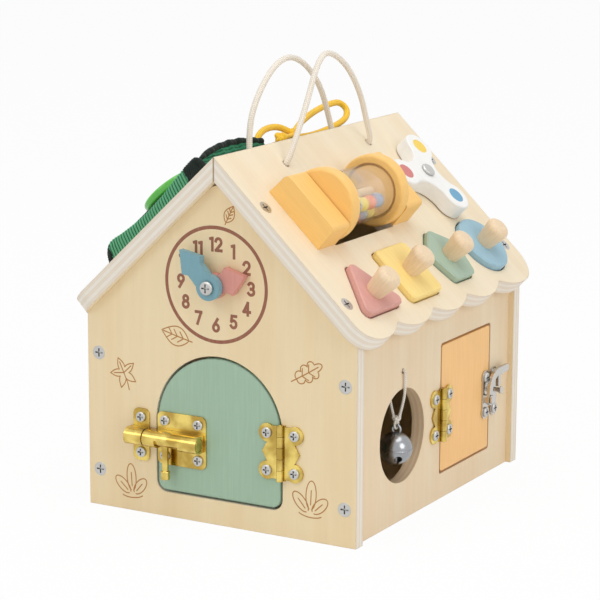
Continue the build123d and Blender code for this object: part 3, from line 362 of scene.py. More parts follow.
def clear(name):
    """Clear acrylic with a little haze and fine wipe marks."""
    made, bsdf, where, _ = material(name)
    wipe = grained(where, (Y, X, Z), (0.08, 1.2, 1.2))
    settle(bsdf, Base_Color=(0.97, 0.98, 0.98, 1.0), Transmission_Weight=0.8, IOR=1.3, Alpha=0.22)
    settle(bsdf, Roughness=span(wipe, 0.35, 0.75, 0.0, 0.03))
    bump(bsdf, wipe, 0.02, 0.0001)
    return made


def dress(finish, *names):
    """Gives solids a finish."""
    for name in names:
        node = frame["nodes"][name]
        if not node.material_slots:
            node.data.materials.append(finish)
        for slot in node.material_slots:
            slot.material = finish


# Painted shade: the side walls take a slightly darker, cooler copy of the birch
BIRCH, BIRCH_SHADED_SIDE = rgb(242, 222, 182), rgb(238, 218, 186)
WALL_PLY, FLOOR_PLY = 8.0, 6.0
ROOF_PLY, ROOF_DEPTH, BIRCH_ROOF = 10.0, RIDGE * COS, rgb(244, 229, 201)
ROOF_NORMAL, ROOF_DOWN = (SIN, 0, COS), (COS, 0, -SIN)
# Soft edges of the lift-out shapes and of the front door, in metres
SHAPE_EDGE, DOOR_EDGE = 0.0002, 0.0016

dress(plywood("birch_front", (0, -1, 0), -FRONT, WALL_PLY, Z, BIRCH), "front_wall")
dress(plywood("birch_back", Y, -FRONT, WALL_PLY, Z, BIRCH), "back_wall")
dress(plywood("birch_right", X, SIDE, WALL_PLY, Z, BIRCH_SHADED_SIDE, EDGES_SHADED_SIDE), "right_wall")
dress(plywood("birch_left", (-1, 0, 0), SIDE, WALL_PLY, Z, BIRCH_SHADED_SIDE), "left_wall")
dress(plywood("birch_floor", Z, FLOOR_PLY, FLOOR_PLY, Y, BIRCH), "floor_board")
for label, side in (("roof_right", 1), ("roof_left", -1)):
    face, slope = (side * SIN, 0, COS), (side * COS, 0, -SIN)
    roof_ply = plywood("birch_" + label, face, ROOF_DEPTH, ROOF_PLY, slope, BIRCH_ROOF, mitre=True)
    dress(roof_ply, label)
dress(turned("beech_dowel", rgb(236, 210, 170), Y), "drum_axle", "spinner_washer")
dress(stained("door_green_stain", rgb(164, 192, 168), Z, rounding=DOOR_EDGE), "front_door")
dress(stained("door_orange_stain", rgb(252, 202, 136), Z), "side_door")
dress(
    stained("orange_stain", rgb(252, 204, 122), ROOF_DOWN),
    "drum_bracket_front", "drum_bracket_rear", "drum_cap_front", "drum_cap_rear",
)
beech = turned("turned_beech", rgb(238, 212, 176), ROOF_NORMAL)
for shape, stain, colour in (
    ("triangle", "pink_stain", rgb(218, 161, 151)),
    ("square", "yellow_stain", rgb(252, 222, 140)),
    ("pentagon", "green_stain", rgb(170, 192, 172)),
    ("circle", "blue_stain", rgb(158, 194, 210)),
):
    dress(stained(stain, colour, ROOF_DOWN, rounding=SHAPE_EDGE), shape + "_piece")
    dress(beech, shape + "_knob")
dress(stained("white_paint", rgb(246, 245, 242), ROOF_DOWN, 0.4, 0.02), "spinner_body")
dress(stained("hour_hand_paint", rgb(218, 150, 138), Z, 0.45, 0.03), "clock_hour_hand")
dress(stained("minute_hand_paint", rgb(124, 167, 179), Z, 0.45, 0.03), "clock_minute_hand")
dress(
    metal("zinc_steel", rgb(200, 199, 196), 0.36),
    "front_door_screws", "clock_pivot", "side_door_screws", "hardware_screws", "panel_screws",
    "spinner_post", "bell_pellet",
)
dress(
    metal("latch_nickel", rgb(200, 196, 190), 0.15, 0.03, shade_recesses=False),
    "latch_base", "latch_hook", "latch_catch",
)
# The brass's strong uneven tone towards a pale tint is painted reflection
dress(
    metal("brass_plate", rgb(194, 162, 80), 0.16, 0.015, rgb(232, 207, 118), uneven=0.12),
    "front_hinge_wall_leaf", "front_hinge_door_leaf", "front_hinge_pin", "bolt_plate", "bolt_rod",
    "bolt_keeper", "side_hinge_wall_leaf", "side_hinge_door_leaf", "side_hinge_pin",
)
dress(metal("bell_plate", rgb(160, 162, 165), 0.26, 0.03), "bell_shell")
dress(clear("clear_acrylic"), "drum_tube")
dress(plastic("button_plastic", rgb(96, 196, 74), 0.2), "fabric_button")

# The second colour of each yarn and corduroy is painted shade for its grooves, between strands,
# loops and wales
rope_yarn = yarn("rope_cotton", rgb(248, 241, 229), rgb(222, 209, 190))
cord_yarn = yarn("bell_cord_cotton", rgb(238, 232, 222), rgb(178, 166, 148))
lace_yarn = yarn("lace_cotton", rgb(255, 212, 66), rgb(242, 184, 44), 0.2, 2.2)
wale = corduroy("green_corduroy", rgb(102, 172, 128), rgb(34, 94, 68))
# Painted shade: the frill takes a darker copy of the green corduroy, as it stands in shade
shaded_frill_wale = corduroy("shaded_frill_corduroy", rgb(48, 122, 88), rgb(8, 42, 30))
overlock = yarn("overlock_thread", rgb(24, 38, 32), rgb(3, 6, 5), 0.1, 2.4)


# Mesh helpers

def mesh_piece(name, vertices, faces, finish, body, values=None, smooth=True):
    """Mesh object in metres that rides on a body; values are named numbers per vertex."""
    mesh = bpy.data.meshes.new(name)
    mesh.from_pydata([tuple(v) for v in vertices], [], faces)
    mesh.validate()
    for key, numbers in (values or {}).items():
        data = mesh.attributes.new(key, "FLOAT", "POINT").data
        data.foreach_set("value", np.asarray(numbers, np.float32))
    mesh.materials.append(finish)
    if smooth:
        mesh.shade_smooth()
    mesh.update()
    piece = show(name, mesh)
    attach(piece, body)
    return piece


def spaced(points, gap, closed=False):
    """The same line with points at even distances, in metres."""
    line = np.array([tuple(p) for p in points], float)
    if closed:
        line = np.vstack([line, line[:1]])
    reach = np.concatenate([[0], np.cumsum(np.linalg.norm(np.diff(line, axis=0), axis=1))])
    count = max(4, int(round(reach[-1] / gap)))
    wanted = np.linspace(0, reach[-1], count + 1)
    if closed:
        wanted = wanted[:-1]
    return [Vector([np.interp(s, reach, line[:, k]) for k in range(3)]) for s in wanted]


ROUTE_STEPS = 14


def nurbs_line(points, gap):
    """Even points along a NURBS curve that has the route's points as control points."""
    data = bpy.data.curves.new("route", "CURVE")
    data.dimensions = "3D"
    spline = data.splines.new("NURBS")
    spline.points.add(len(points) - 1)
    for control, point in zip(spline.points, points):
        control.co = (*point, 1.0)
    spline.order_u = 3
    spline.use_endpoint_u = True
    spline.resolution_u = ROUTE_STEPS
    holder = bpy.data.objects.new("route", data)
    line = bpy.data.meshes.new_from_object(holder)
    found = [v.co.copy() for v in line.vertices]
    bpy.data.objects.remove(holder)
    bpy.data.curves.remove(data)
    bpy.data.meshes.remove(line)
    return spaced(found, gap)


def tube(name, path, radius, pattern, finish, body, sides, closed=False):
    """Tube along a line; pattern(distance, angle) gives a radius share and how raised it is."""
    chain = [path[-1], *path, path[0]] if closed else [path[0], *path, path[-1]]
    ahead = [(after - before).normalized() for before, after in zip(chain, chain[2:])]
    side = ahead[0].orthogonal().normalized()
    vertices, crest = [], []
    distance = 0.0
    for i, (point, forward) in enumerate(zip(path, ahead)):
        side = (side - forward * side.dot(forward)).normalized()
        other = forward.cross(side)
        if i:
            distance += (point - path[i - 1]).length / MM
        for angle in (TURN * k / sides for k in range(sides)):
            share, raised = pattern(distance, angle)
            offset = side * cos(angle) + other * sin(angle)
            vertices.append(point + offset * (radius * share * MM))
            crest.append(raised)
    rings = [range(start, start + sides) for start in range(0, len(vertices), sides)]
    faces = []
    for first, second in zip(rings, rings[1:] + rings[:1] if closed else rings[1:]):
        for k in range(sides):
            n = (k + 1) % sides
            faces.append((first[k], first[n], second[n], second[k]))
    if not closed:
        for ring, point in ((rings[0][::-1], path[0]), (rings[-1], path[-1])):
            middle = len(vertices)
            vertices.append(point)
            crest.append(0.3)
            faces += [(ring[k], ring[(k + 1) % sides], middle) for k in range(sides)]
    return mesh_piece(name, vertices, faces, finish, body, {"crest": crest})


def braid(pitch, turns, depth):
    """Two sets of strands that cross over each other."""
    def pattern(distance, angle):
        wave = TURN * distance / pitch
        raised = 0.5 + 0.5 * cos(turns * angle + wave) * cos(turns * angle - wave)
        return 1.0 - depth + depth * raised, raised
    return pattern


def twist(pitch, strands, depth):
    """Strands laid round each other."""
    def pattern(distance, angle):
        raised = abs(cos(strands * angle / 2 + pi * distance / pitch))
        return 1.0 - depth + depth * raised, raised
    return pattern


KNOT_POINTS, KNOT_LIFT = 120, 0.9


def knot(name, centre, size, turn, gap, *look):
    """Closed overhand knot round a centre; look is what tube() takes from the radius on."""
    about_x, about_y = (radians(a) for a in turn)
    spin = Matrix.Rotation(about_x, 3, "X") @ Matrix.Rotation(about_y, 3, "Y")
    path = []
    for k in range(KNOT_POINTS):
        t = TURN * k / KNOT_POINTS
        point = Vector((
            sin(t) + 2 * sin(2 * t),
            cos(t) - 2 * cos(2 * t),
            -sin(3 * t) * KNOT_LIFT,
        ))
        path.append(centre + spin @ point * (size / 3 * MM))
    return tube(name, spaced(path, gap, True), *look, closed=True)


def bow(cx, cy, rx, ry, start, end, count=20):
    """Part of an ellipse, in degrees."""
    angles = [radians(start + (end - start) * k / count) for k in range(count + 1)]
    return [(cx + rx * cos(a), cy + ry * sin(a)) for a in angles]


def merge(name, pieces):
    """Joins tubes of one finish and body into a single piece."""
    made = bmesh.new()
    body, finish = pieces[0]["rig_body"], pieces[0].data.materials[0]
    for piece in pieces:
        old = piece.data
        made.from_mesh(old)
        bpy.data.objects.remove(piece)
        bpy.data.meshes.remove(old)
    mesh = bpy.data.meshes.new(name)
    made.to_mesh(mesh)
    made.free()
    mesh.materials.append(finish)
    joined = show(name, mesh)
    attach(joined, body)
    return joined


# Cords: the rope handles, the bell's cord and the lace bow

# Distance between points along a cord, in metres
ROPE_GAP, CORD_GAP = 0.0004, 0.0003
ROPE_RADIUS, CORD_RADIUS, LACE_RADIUS = 1.8, 0.9, 2.05
rope_weave, lace_weave, cord_lay = braid(2.4, 5, 0.05), braid(2.0, 5, 0.06), twist(1.3, 3, 0.12)

ROPE_SPAN = 0.2267 * ROOF_LENGTH
ROPE_DOWN = 15.8
ROPE_END = (-12.5, -2.0, 2.5)
# Out from the middle, share of the span along the house, height over the ridge
right_crown = [
    (14.0, -0.828, 5.6), (13.4, -0.578, 23.1), (13.0, -0.347, 43.6), (13.0, -0.105, 51.4),
    (13.0, 0.369, 41.0), (13.4, 0.715, 21.6), (14.0, 0.861, 2.4),
]
left_crown = [
    (14.4, -0.957, 7.8), (14.4, -0.867, 19.8), (13.6, -0.653, 33.6), (13.0, -0.376, 43.5),
    (13.0, -0.04, 46.2), (13.0, 0.35, 38.2), (13.4, 0.695, 22.9), (14.2, 0.908, 4.6),
]


def rope_points(side, crown):
    """Route of a handle: up through the roof, over the ridge and down again."""
    roof = partial(on_roof, side)
    front = [roof(ROPE_DOWN, -ROPE_SPAN, rise) for rise in ROPE_END]
    rear = [roof(ROPE_DOWN, ROPE_SPAN, rise) for rise in reversed(ROPE_END)]
    over = [
        Vector((side * out, share * ROPE_SPAN, RIDGE + rise)) * MM for out, share, rise in crown
    ]
    return front + over + rear


ROPE_KNOT_Z = RIDGE - ROPE_DOWN / SIN
knots = [
    knot(
        "rope_knot_%d" % k, Vector((0, side * ROPE_SPAN, ROPE_KNOT_Z)) * MM, 3.7, (70, 25 * side),
        ROPE_GAP, ROPE_RADIUS, rope_weave, rope_yarn, "house", 16,
    )
    for k, side in enumerate((-1, 1))
]
rope_knots = merge("rope_knots_tied", knots)
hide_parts("rope_knots")
for label, side, crown in (("right", 1, right_crown), ("left", -1, left_crown)):
    path = nurbs_line(rope_points(side, crown), ROPE_GAP)
    rope = tube("rope_" + label, path, ROPE_RADIUS, rope_weave, rope_yarn, "house", 20)
    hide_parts("rope_handle_" + label)

BELL_X, BELL_Y, BELL_Z = SIDE - 4.0, -0.2271 * WALL_LENGTH, 0.358 * WALL_HEIGHT
CORD_HOLE = 0.745 * WALL_HEIGHT
KNOT_Z, LUG_Z = BELL_Z + 17.5, BELL_Z + 14.4
STRAND_LOW = CORD_HOLE - 0.45 * (CORD_HOLE - KNOT_Z)
# From the knot up the outside of the wall to its middle: out from the bell's axis, and height
half_route = [
    (1.8, KNOT_Z + 1.2), (4.6, STRAND_LOW - 4.5), (5.4, STRAND_LOW + 2.0),
    (5.5, CORD_HOLE - 2.4), (5.2, CORD_HOLE + 0.9), (2.8, CORD_HOLE + 0.3),
]
bell_route = half_route + [(-out, z) for out, z in reversed(half_route)]
path = nurbs_line([Vector((BELL_X + out, BELL_Y, z)) * MM for out, z in bell_route], CORD_GAP)
bell_cord = tube("bell_cord_twisted", path, CORD_RADIUS, cord_lay, cord_yarn, "bell", 14)
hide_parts("bell_cord")
tie_look = cord_lay, cord_yarn, "bell", 12
knot_centre = Vector((BELL_X, BELL_Y, KNOT_Z)) * MM
ties = [knot("bell_tie_0", knot_centre, 2.0, (80, 20), CORD_GAP, 0.95, *tie_look)]
for k, (dy, dz) in enumerate(((-3.4, 1.2), (3.4, 1.5))):
    offsets = (0, 0, 0), (0.3, dy * 0.5, dz * 0.2), (0.8, dy, dz)
    stub = nurbs_line([knot_centre + Vector(o) * MM for o in offsets], CORD_GAP)
    ties.append(tube("bell_tie_%d" % (k + 1), stub, CORD_RADIUS, *tie_look))
lug_centre = Vector((BELL_X, BELL_Y, LUG_Z)) * MM
lug_ring = [lug_centre + Vector((0, *p)) * MM for p in bow(0, 0, 2.3, 2.5, 0, 360, 60)[:-1]]
ties.append(tube("bell_tie_3", lug_ring, 0.72, *tie_look, closed=True))
bell_knot = merge("bell_cord_knot", ties)
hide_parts("bell_knot")

# Down the slope, share of the roof's length, out from the roof
rear_loop = [
    (19.8, 0.0969, 14.2), (18.8, 0.1333, 18.0), (18.0, 0.2089, 22.2), (18.0, 0.288, 25.3),
    (18.0, 0.3667, 26.9), (18.0, 0.408, 26.4), (18.3, 0.4222, 20.6), (19.4, 0.3978, 15.6),
    (20.7, 0.36, 13.4), (22.5, 0.3022, 12.2), (24.5, 0.2311, 11.6), (24.5, 0.1644, 11.7),
    (23.0, 0.1133, 11.9), (21.8, 0.0933, 12.4),
]
front_loop = [
    (20.8, 0.0809, 15.2), (21.0, 0.0625, 19.3), (21.1, 0.026, 21.6), (21.2, -0.0221, 21.2),
    (21.4, -0.0557, 19.2), (22.6, -0.0794, 16.5), (26.2, -0.081, 12.1), (27.6, -0.0467, 11.6),
    (26.6, 0.0222, 11.8), (23.8, 0.0622, 12.4), (22.2, 0.0809, 12.9),
]
lace_centre = left_roof(20.5, 0.0867 * ROOF_LENGTH, 12.8)
tail_centre = left_roof(18.4, -0.002 * ROOF_LENGTH, 11.8)
sag = (lace_centre + tail_centre) / 2 + Vector((0, 0, -0.6)) * MM
tail_line = nurbs_line([lace_centre, sag, tail_centre], ROPE_GAP)
lace_look = lace_weave, lace_yarn, "house", 16
lace_knot = merge("lace_knot_tied", [
    knot("lace_part_0", lace_centre, 2.6, (20, 60), ROPE_GAP, 1.6, *lace_look),
    knot("lace_part_1", tail_centre, 2.5, (40, 15), ROPE_GAP, 1.75, *lace_look),
    tube("lace_part_2", tail_line, 1.5, *lace_look),
])
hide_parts("lace_knot")
for label, loop in (("rear", rear_loop), ("front", front_loop)):
    path = nurbs_line([left_roof(u, share * ROOF_LENGTH, w) for u, share, w in loop], ROPE_GAP)
    lace = tube("lace_" + label, path, LACE_RADIUS, lace_weave, lace_yarn, "house", 18)
    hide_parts("lace_loop_" + label)


# Corduroy panel, frill and flap on the left roof

RIB_PITCH = 2.2
PAD_TOP, PAD_LOW, PAD_BASE = 20.5, 102.5, 0.3
PAD_FRONT, PAD_REAR, PAD_ROUND = -0.4622 * ROOF_LENGTH, 0.4444 * ROOF_LENGTH, 4.5
# The top's height is a polynomial in (u - CROWN_MIDDLE) / CROWN_REACH
PAD_CROWN, CROWN_MIDDLE, CROWN_REACH = (-3.319, 1.385, 5.201, -0.424, 8.2), 60, 40
ROLL_TOP, ROLL_LOW, ROLL_OUT = PAD_TOP + 2.5, PAD_LOW - 5.0, 1.7
# The front end is fuller, most of all at its upper corner, which leans towards the ridge
PUFF_LENGTH, PUFF, CORNER_PUFF = 7, 0.13, 0.14
CORNER_END, CORNER_LENGTH, CORNER_LEAN = 31, 9, 5.0
# The overlocked seams lie above and below these places
SEAM_TOP, SEAM_LOW = 28.0, 99.3
# Points below, round one rolled edge, over the top and round the other edge
FINE, COARSE = (40, 32, 330, 32), (16, 5, 26, 5)
CLOTH_FRAMES, PRESSURE, STUFFING_LIMIT = 20, 4.0, 1.4
FLAP = (36.0, 84.0, -0.4133 * ROOF_LENGTH, -0.1556 * ROOF_LENGTH)
FLAP_ROUND, FLAP_THICK, FLAP_HOLD = 9.0, 1.7, 14
FLAP_COLUMNS, FLAP_ROWS = 190, 60
BUTTON = (60, -72.0)


def rib_height(u):
    return abs(np.sin(pi * u / RIB_PITCH))


def arc(first, middle, last, count):
    """Points on the circle through three points, from the first towards the last."""
    (ax, ay), (bx, by), (cx, cy) = first, middle, last
    a, b, c = ax**2 + ay**2, bx**2 + by**2, cx**2 + cy**2
    d = 2 * (ax * (by - cy) + bx * (cy - ay) + cx * (ay - by))
    ux = (a * (by - cy) + b * (cy - ay) + c * (ay - by)) / d
    uy = (a * (cx - bx) + b * (ax - cx) + c * (bx - ax)) / d
    radius = hypot(ax - ux, ay - uy)
    start, mid, end = (atan2(y - uy, x - ux) for x, y in (first, middle, last))
    turn = (end - start) % TURN
    if (mid - start) % TURN > turn:
        turn -= TURN
    return bow(ux, uy, radius, radius, degrees(start), degrees(start + turn), count)[:-1]


def pad_top(u):
    """Height of the panel's top: it dips under the flap and is fullest near the eave."""
    return np.polyval(PAD_CROWN, (u - CROWN_MIDDLE) / CROWN_REACH)


def pad_outline(counts):
    """Closed outline of the panel across the slope: flat below, rolled edges, uneven top."""
    under, roll, over, _ = counts
    high, low = pad_top(ROLL_TOP), pad_top(ROLL_LOW)
    upper, lower = (PAD_TOP, PAD_BASE), (PAD_LOW, PAD_BASE)
    outline = [(PAD_LOW + (PAD_TOP - PAD_LOW) * k / under, PAD_BASE) for k in range(under)]
    outline += arc(upper, (PAD_TOP - ROLL_OUT, high / 2), (ROLL_TOP, high), roll)
    outline += [(u, pad_top(u)) for u in np.linspace(ROLL_TOP, ROLL_LOW, over, endpoint=False)]
    outline += arc((ROLL_LOW, low), (PAD_LOW + ROLL_OUT, low / 2), lower, roll)
    return np.array(outline)


def pad_stations(turn_count, straight_count):
    """Places along the house, closer together where the ends turn down to the roof."""
    turn = [PAD_ROUND * (1 - cos(pi / 2 * k / turn_count)) for k in range(turn_count)]
    straight = np.linspace(PAD_FRONT + PAD_ROUND, PAD_REAR - PAD_ROUND, straight_count)
    front, rear = [PAD_FRONT + t for t in turn], [PAD_REAR - t for t in reversed(turn)]
    return np.array(front + list(straight) + rear)


def pad_grid(outline, stations):
    """The panel's surface as places down the slope, along the house and out from the roof."""
    middle = (PAD_TOP + PAD_LOW) / 2
    near = np.minimum(stations - PAD_FRONT, PAD_REAR - stations) / PAD_ROUND
    ease = np.sqrt(1 - (1 - np.clip(near, 0, 1)) ** 2)[:, None]
    puff = np.clip(1 - (stations - PAD_FRONT - PAD_ROUND) / PUFF_LENGTH, 0, 1)[:, None]
    down, rise = outline[None, :, 0], outline[None, :, 1] - PAD_BASE
    corner = np.clip((CORNER_END - down) / CORNER_LENGTH, 0, 1)
    grid = np.empty((len(stations), len(outline), 3))
    grid[:, :, 0] = middle + (down - middle) * (0.975 + 0.025 * ease)
    grid[:, :, 0] -= CORNER_LEAN * puff * corner
    grid[:, :, 1] = stations[:, None]
    fullness = 1 + puff * (PUFF + CORNER_PUFF * corner)
    grid[:, :, 2] = PAD_BASE + rise * np.maximum(ease, 0.03) * fullness
    return grid


def grid_faces(rows, columns):
    """Quads of a closed tube of points, and its two ends."""
    faces = []
    for s in range(rows - 1):
        for k in range(columns):
            a, b = s * columns + k, s * columns + (k + 1) % columns
            faces.append((a, a + columns, b + columns, b))
    faces.append(tuple(range(columns)))
    faces.append(tuple((rows - 1) * columns + k for k in reversed(range(columns))))
    return faces


def stuffing(grid, under):
    """How far the filling pushes a coarse panel out: a short cloth run, sewn down below."""
    rows, columns = grid.shape[:2]
    start = [tuple(left_roof(*place)) for place in grid.reshape(-1, 3)]
    mesh = bpy.data.meshes.new("pad_cloth")
    mesh.from_pydata(start, [], grid_faces(rows, columns))
    holder = show("pad_cloth", mesh)
    sewn = holder.vertex_groups.new(name="sewn")
    sewn.add([s * columns + k for s in range(rows) for k in range(under + 1)], 1.0, "REPLACE")
    cloth = holder.modifiers.new("cloth", "CLOTH")
    cloth.settings.quality = 6
    cloth.settings.use_pressure = True
    cloth.settings.uniform_pressure_force = PRESSURE
    cloth.settings.effector_weights.gravity = 0.0
    cloth.settings.vertex_group_mass = "sewn"
    cloth.point_cache.frame_start = 1
    cloth.point_cache.frame_end = CLOTH_FRAMES
    for number in range(1, CLOTH_FRAMES + 1):
        scene.frame_set(number)
    result = holder.evaluated_get(bpy.context.evaluated_depsgraph_get())
    moved = np.array([tuple(v.co) for v in result.data.vertices]) - np.array(start)
    scene.frame_set(1)
    bpy.data.objects.remove(holder)
    bpy.data.meshes.remove(mesh)
    moved = moved.reshape(rows, columns, 3)
    reach = np.linalg.norm(moved, axis=2, keepdims=True)
    return moved * np.minimum(1.0, STUFFING_LIMIT * MM / np.maximum(reach, 1e-9))


def resampled(values, stations, wanted_stations, shares, wanted_shares):
    """The same field on a finer grid."""
    along = [np.interp(wanted_stations, stations, column) for column in values.T]
    return np.stack([np.interp(wanted_shares, shares, row) for row in np.stack(along, 1)])


def shares_of(counts):
    """Place round the outline, in the same units for a coarse and a fine outline."""
    return np.concatenate([part + np.arange(count) / count for part, count in enumerate(counts)])


def make_pad():
    outline, stations = pad_outline(FINE), pad_stations(12, 96)
    under = FINE[0]
    grid = pad_grid(outline, stations)
    down, along = grid[:, :, 0], grid[:, :, 1]
    place = np.array([[tuple(left_roof(*p)) for p in row] for row in grid])
    # The flap and its button hold the filling down.
    gap_down = np.maximum(0, np.maximum(FLAP[0] - down, down - FLAP[1]))
    gap_along = np.maximum(0, np.maximum(FLAP[2] - along, along - FLAP[3]))
    free = np.clip(np.hypot(gap_down, gap_along) / FLAP_HOLD, 0, 1)
    few = pad_stations(3, 36)
    moved = stuffing(pad_grid(pad_outline(COARSE), few), COARSE[0])
    shares = shares_of(COARSE), shares_of(FINE)
    fine_moved = [resampled(moved[:, :, axis], few, stations, *shares) for axis in range(3)]
    place = place + np.stack(fine_moved, 2) * (0.15 + 0.85 * free)[:, :, None]
    across = np.roll(place, -1, 1) - np.roll(place, 1, 1)
    out = np.cross(np.gradient(place, axis=0), across)
    out /= np.maximum(np.linalg.norm(out, axis=2, keepdims=True), 1e-9)
    rib = rib_height(down)
    swell, thread = np.zeros(rib.shape), np.zeros(rib.shape)
    for s, y in enumerate(stations):
        for k in range(under, len(outline)):
            u, w = outline[k]
            broad = noise.noise((u * 0.035, y * 0.022, 3.1))
            swell[s, k] = broad * 0.4 + noise.noise((u * 0.11, y * 0.05, 8.2)) * 0.2
            stray = noise.noise((u * 0.4, y * 0.4, w * 0.4))
            thread[s, k] = abs(sin(2.6 * (u + w) + 2.4 * y + 1.6 * stray))
    swell *= 0.3 + 0.7 * free
    edged = (down > SEAM_LOW) | (down < SEAM_TOP)
    relief = np.where(edged, 0.45 * thread - 0.1, 0.7 * (rib - 0.6))
    relief[:, :under] = 0.0
    vertices = (place + out * ((swell + relief) * MM)[:, :, None]).reshape(-1, 3)
    pad = mesh_piece(
        "corduroy_panel", vertices, grid_faces(*rib.shape), wale, "house",
        {"rib": rib.reshape(-1), "crest": np.where(edged, thread, rib).reshape(-1)},
    )
    pad.data.materials.append(overlock)
    edged = edged.reshape(-1)
    pad.data.polygons.foreach_set("material_index", [
        int(len(polygon.vertices) == 4 and sum(edged[i] for i in polygon.vertices) > 2)
        for polygon in pad.data.polygons
    ])
    return pad


pad = make_pad()
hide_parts("fabric_panel")


def cloth_piece(name, columns, rows, finish, spot):
    """Sheet of two layers and a rim; spot(layer, column, row) gives a place and its rib."""
    step = rows + 1
    layer = (columns + 1) * step
    spots = [spot(k, i, j) for k in (0, 1) for i in range(columns + 1) for j in range(step)]
    ribs = [rib for _, rib in spots]
    faces = []
    for a in (i * step + j for i in range(columns) for j in range(rows)):
        b = a + step
        faces += [(a, b, b + 1, a + 1), (layer + a, layer + a + 1, layer + b + 1, layer + b)]
    rim = list(range(rows)) + [i * step + rows for i in range(columns)]
    rim += [columns * step + j for j in range(rows, 0, -1)]
    rim += [i * step for i in range(columns, 0, -1)]
    faces += [(a, b, layer + b, layer + a) for a, b in zip(rim, rim[1:] + rim[:1])]
    vertices = [left_roof(*place) for place, _ in spots]
    return mesh_piece(name, vertices, faces, finish, "house", {"rib": ribs, "crest": ribs})


FRILL_FRONT, FRILL_REAR, FRILL_U = -0.4489 * ROOF_LENGTH, -0.0822 * ROOF_LENGTH, 20.4
FRILL_FOOT, FRILL_SEAM, FRILL_THICK, FRILL_ROWS = 7.2, 8.4, 0.8, 14
FRILL_FOLD, FRILL_FOLD_LENGTH = -84.0, 17
# Place along the house and height of the strip's top
frill_end = (FRILL_REAR, 14.8)
frill_profile = arc((FRILL_FRONT, 9.0), (-52.0, 18.6), frill_end, 160) + [frill_end]


def frill_lean(y, share):
    """How far the gathered strip swings down the slope at a place along it."""
    wave = sin(y * 0.52 + 0.4) + 0.45 * sin(y * 1.13 + 1.9)
    fold = 1.6 * max(0.0, (FRILL_FOLD - y) / FRILL_FOLD_LENGTH) * share
    return wave * (0.15 + 0.3 * share) + fold


def frill_spot(layer, column, row):
    y, top = frill_profile[column]
    share = row / FRILL_ROWS
    w = FRILL_FOOT + (top - FRILL_SEAM) * share
    lean = frill_lean(y, share)
    out = (-1 if layer else 1) * FRILL_THICK / 2
    return (FRILL_U + lean + out, y, w), rib_height(w + lean * 0.3)


def overlock_stitch(distance, angle):
    """Close loops of thread wound over a cloth edge."""
    rough = noise.noise((distance * 0.9, cos(angle) * 1.3, sin(angle) * 1.3))
    raised = abs(sin(pi * distance / 0.85 + angle + 1.4 * rough))
    return 0.90 + 0.10 * raised + 0.08 * rough, raised


def frill_stitch(distance, angle):
    """The frill's edging, thin where the strip folds over at its front end."""
    share, raised = overlock_stitch(distance, angle)
    return share * (0.5 + 0.5 * min(1.0, max(0.0, (distance - 10) / 12))), raised


frill = cloth_piece(
    "corduroy_frill", len(frill_profile) - 1, FRILL_ROWS, shaded_frill_wale, frill_spot
)
edge = [left_roof(FRILL_U + frill_lean(y, 1.0), y, top - 1.5) for y, top in frill_profile]
frill_trim = tube(
    "frill_overlock", spaced(edge, CORD_GAP), 2.0, frill_stitch, overlock, "house", 16
)
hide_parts("fabric_frill")


def flap_outline(inset, count):
    """Rounded rectangle of the flap, drawn in by inset."""
    reach = FLAP_ROUND - inset
    low_u, high_u = FLAP[0] + FLAP_ROUND, FLAP[1] - FLAP_ROUND
    low_y, high_y = FLAP[2] + FLAP_ROUND, FLAP[3] - FLAP_ROUND
    corners = (high_u, high_y), (low_u, high_y), (low_u, low_y), (high_u, low_y)
    return [
        place for k, corner in enumerate(corners)
        for place in bow(*corner, reach, reach, 90 * k, 90 * k + 90, count)
    ]


def flap_rise(u, y):
    """Height of the flap's underside: it lies on the panel and is drawn up to the button."""
    lift = 0.15 * noise.noise((u * 0.05, y * 0.06, 5.0))
    drawn = max(0.0, 1 - hypot(u - BUTTON[0], y - BUTTON[1]) / 16)
    return pad_top(u) + 0.75 + lift + 0.95 * min(1.0, 1.6 * drawn)


def flap_ends(u):
    """Both ends of the flap along the house, inside its rounded corners."""
    past = max(0.0, FLAP_ROUND - min(u - FLAP[0], FLAP[1] - u))
    cut = FLAP_ROUND - sqrt(max(0.0, FLAP_ROUND**2 - past**2))
    return FLAP[2] + cut, FLAP[3] - cut


def flap_spot(layer, column, row):
    u = FLAP[0] + (FLAP[1] - FLAP[0]) * column / FLAP_COLUMNS
    low, high = flap_ends(u)
    y = low + (high - low) * row / FLAP_ROWS
    rib = rib_height(u)
    over = FLAP_THICK + 0.35 * (rib - 0.6) if layer else 0.0
    return (u, y, flap_rise(u, y) + over), rib


flap = cloth_piece("corduroy_flap", FLAP_COLUMNS, FLAP_ROWS, wale, flap_spot)
edge = [left_roof(u, y, flap_rise(u, y) + FLAP_THICK / 2) for u, y in flap_outline(0.3, 10)]
flap_edge = spaced(edge, CORD_GAP, True)
flap_trim = tube("flap_overlock", flap_edge, 1.15, overlock_stitch, overlock, "house", 14, True)
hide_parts("fabric_flap")


# Beads in the drum

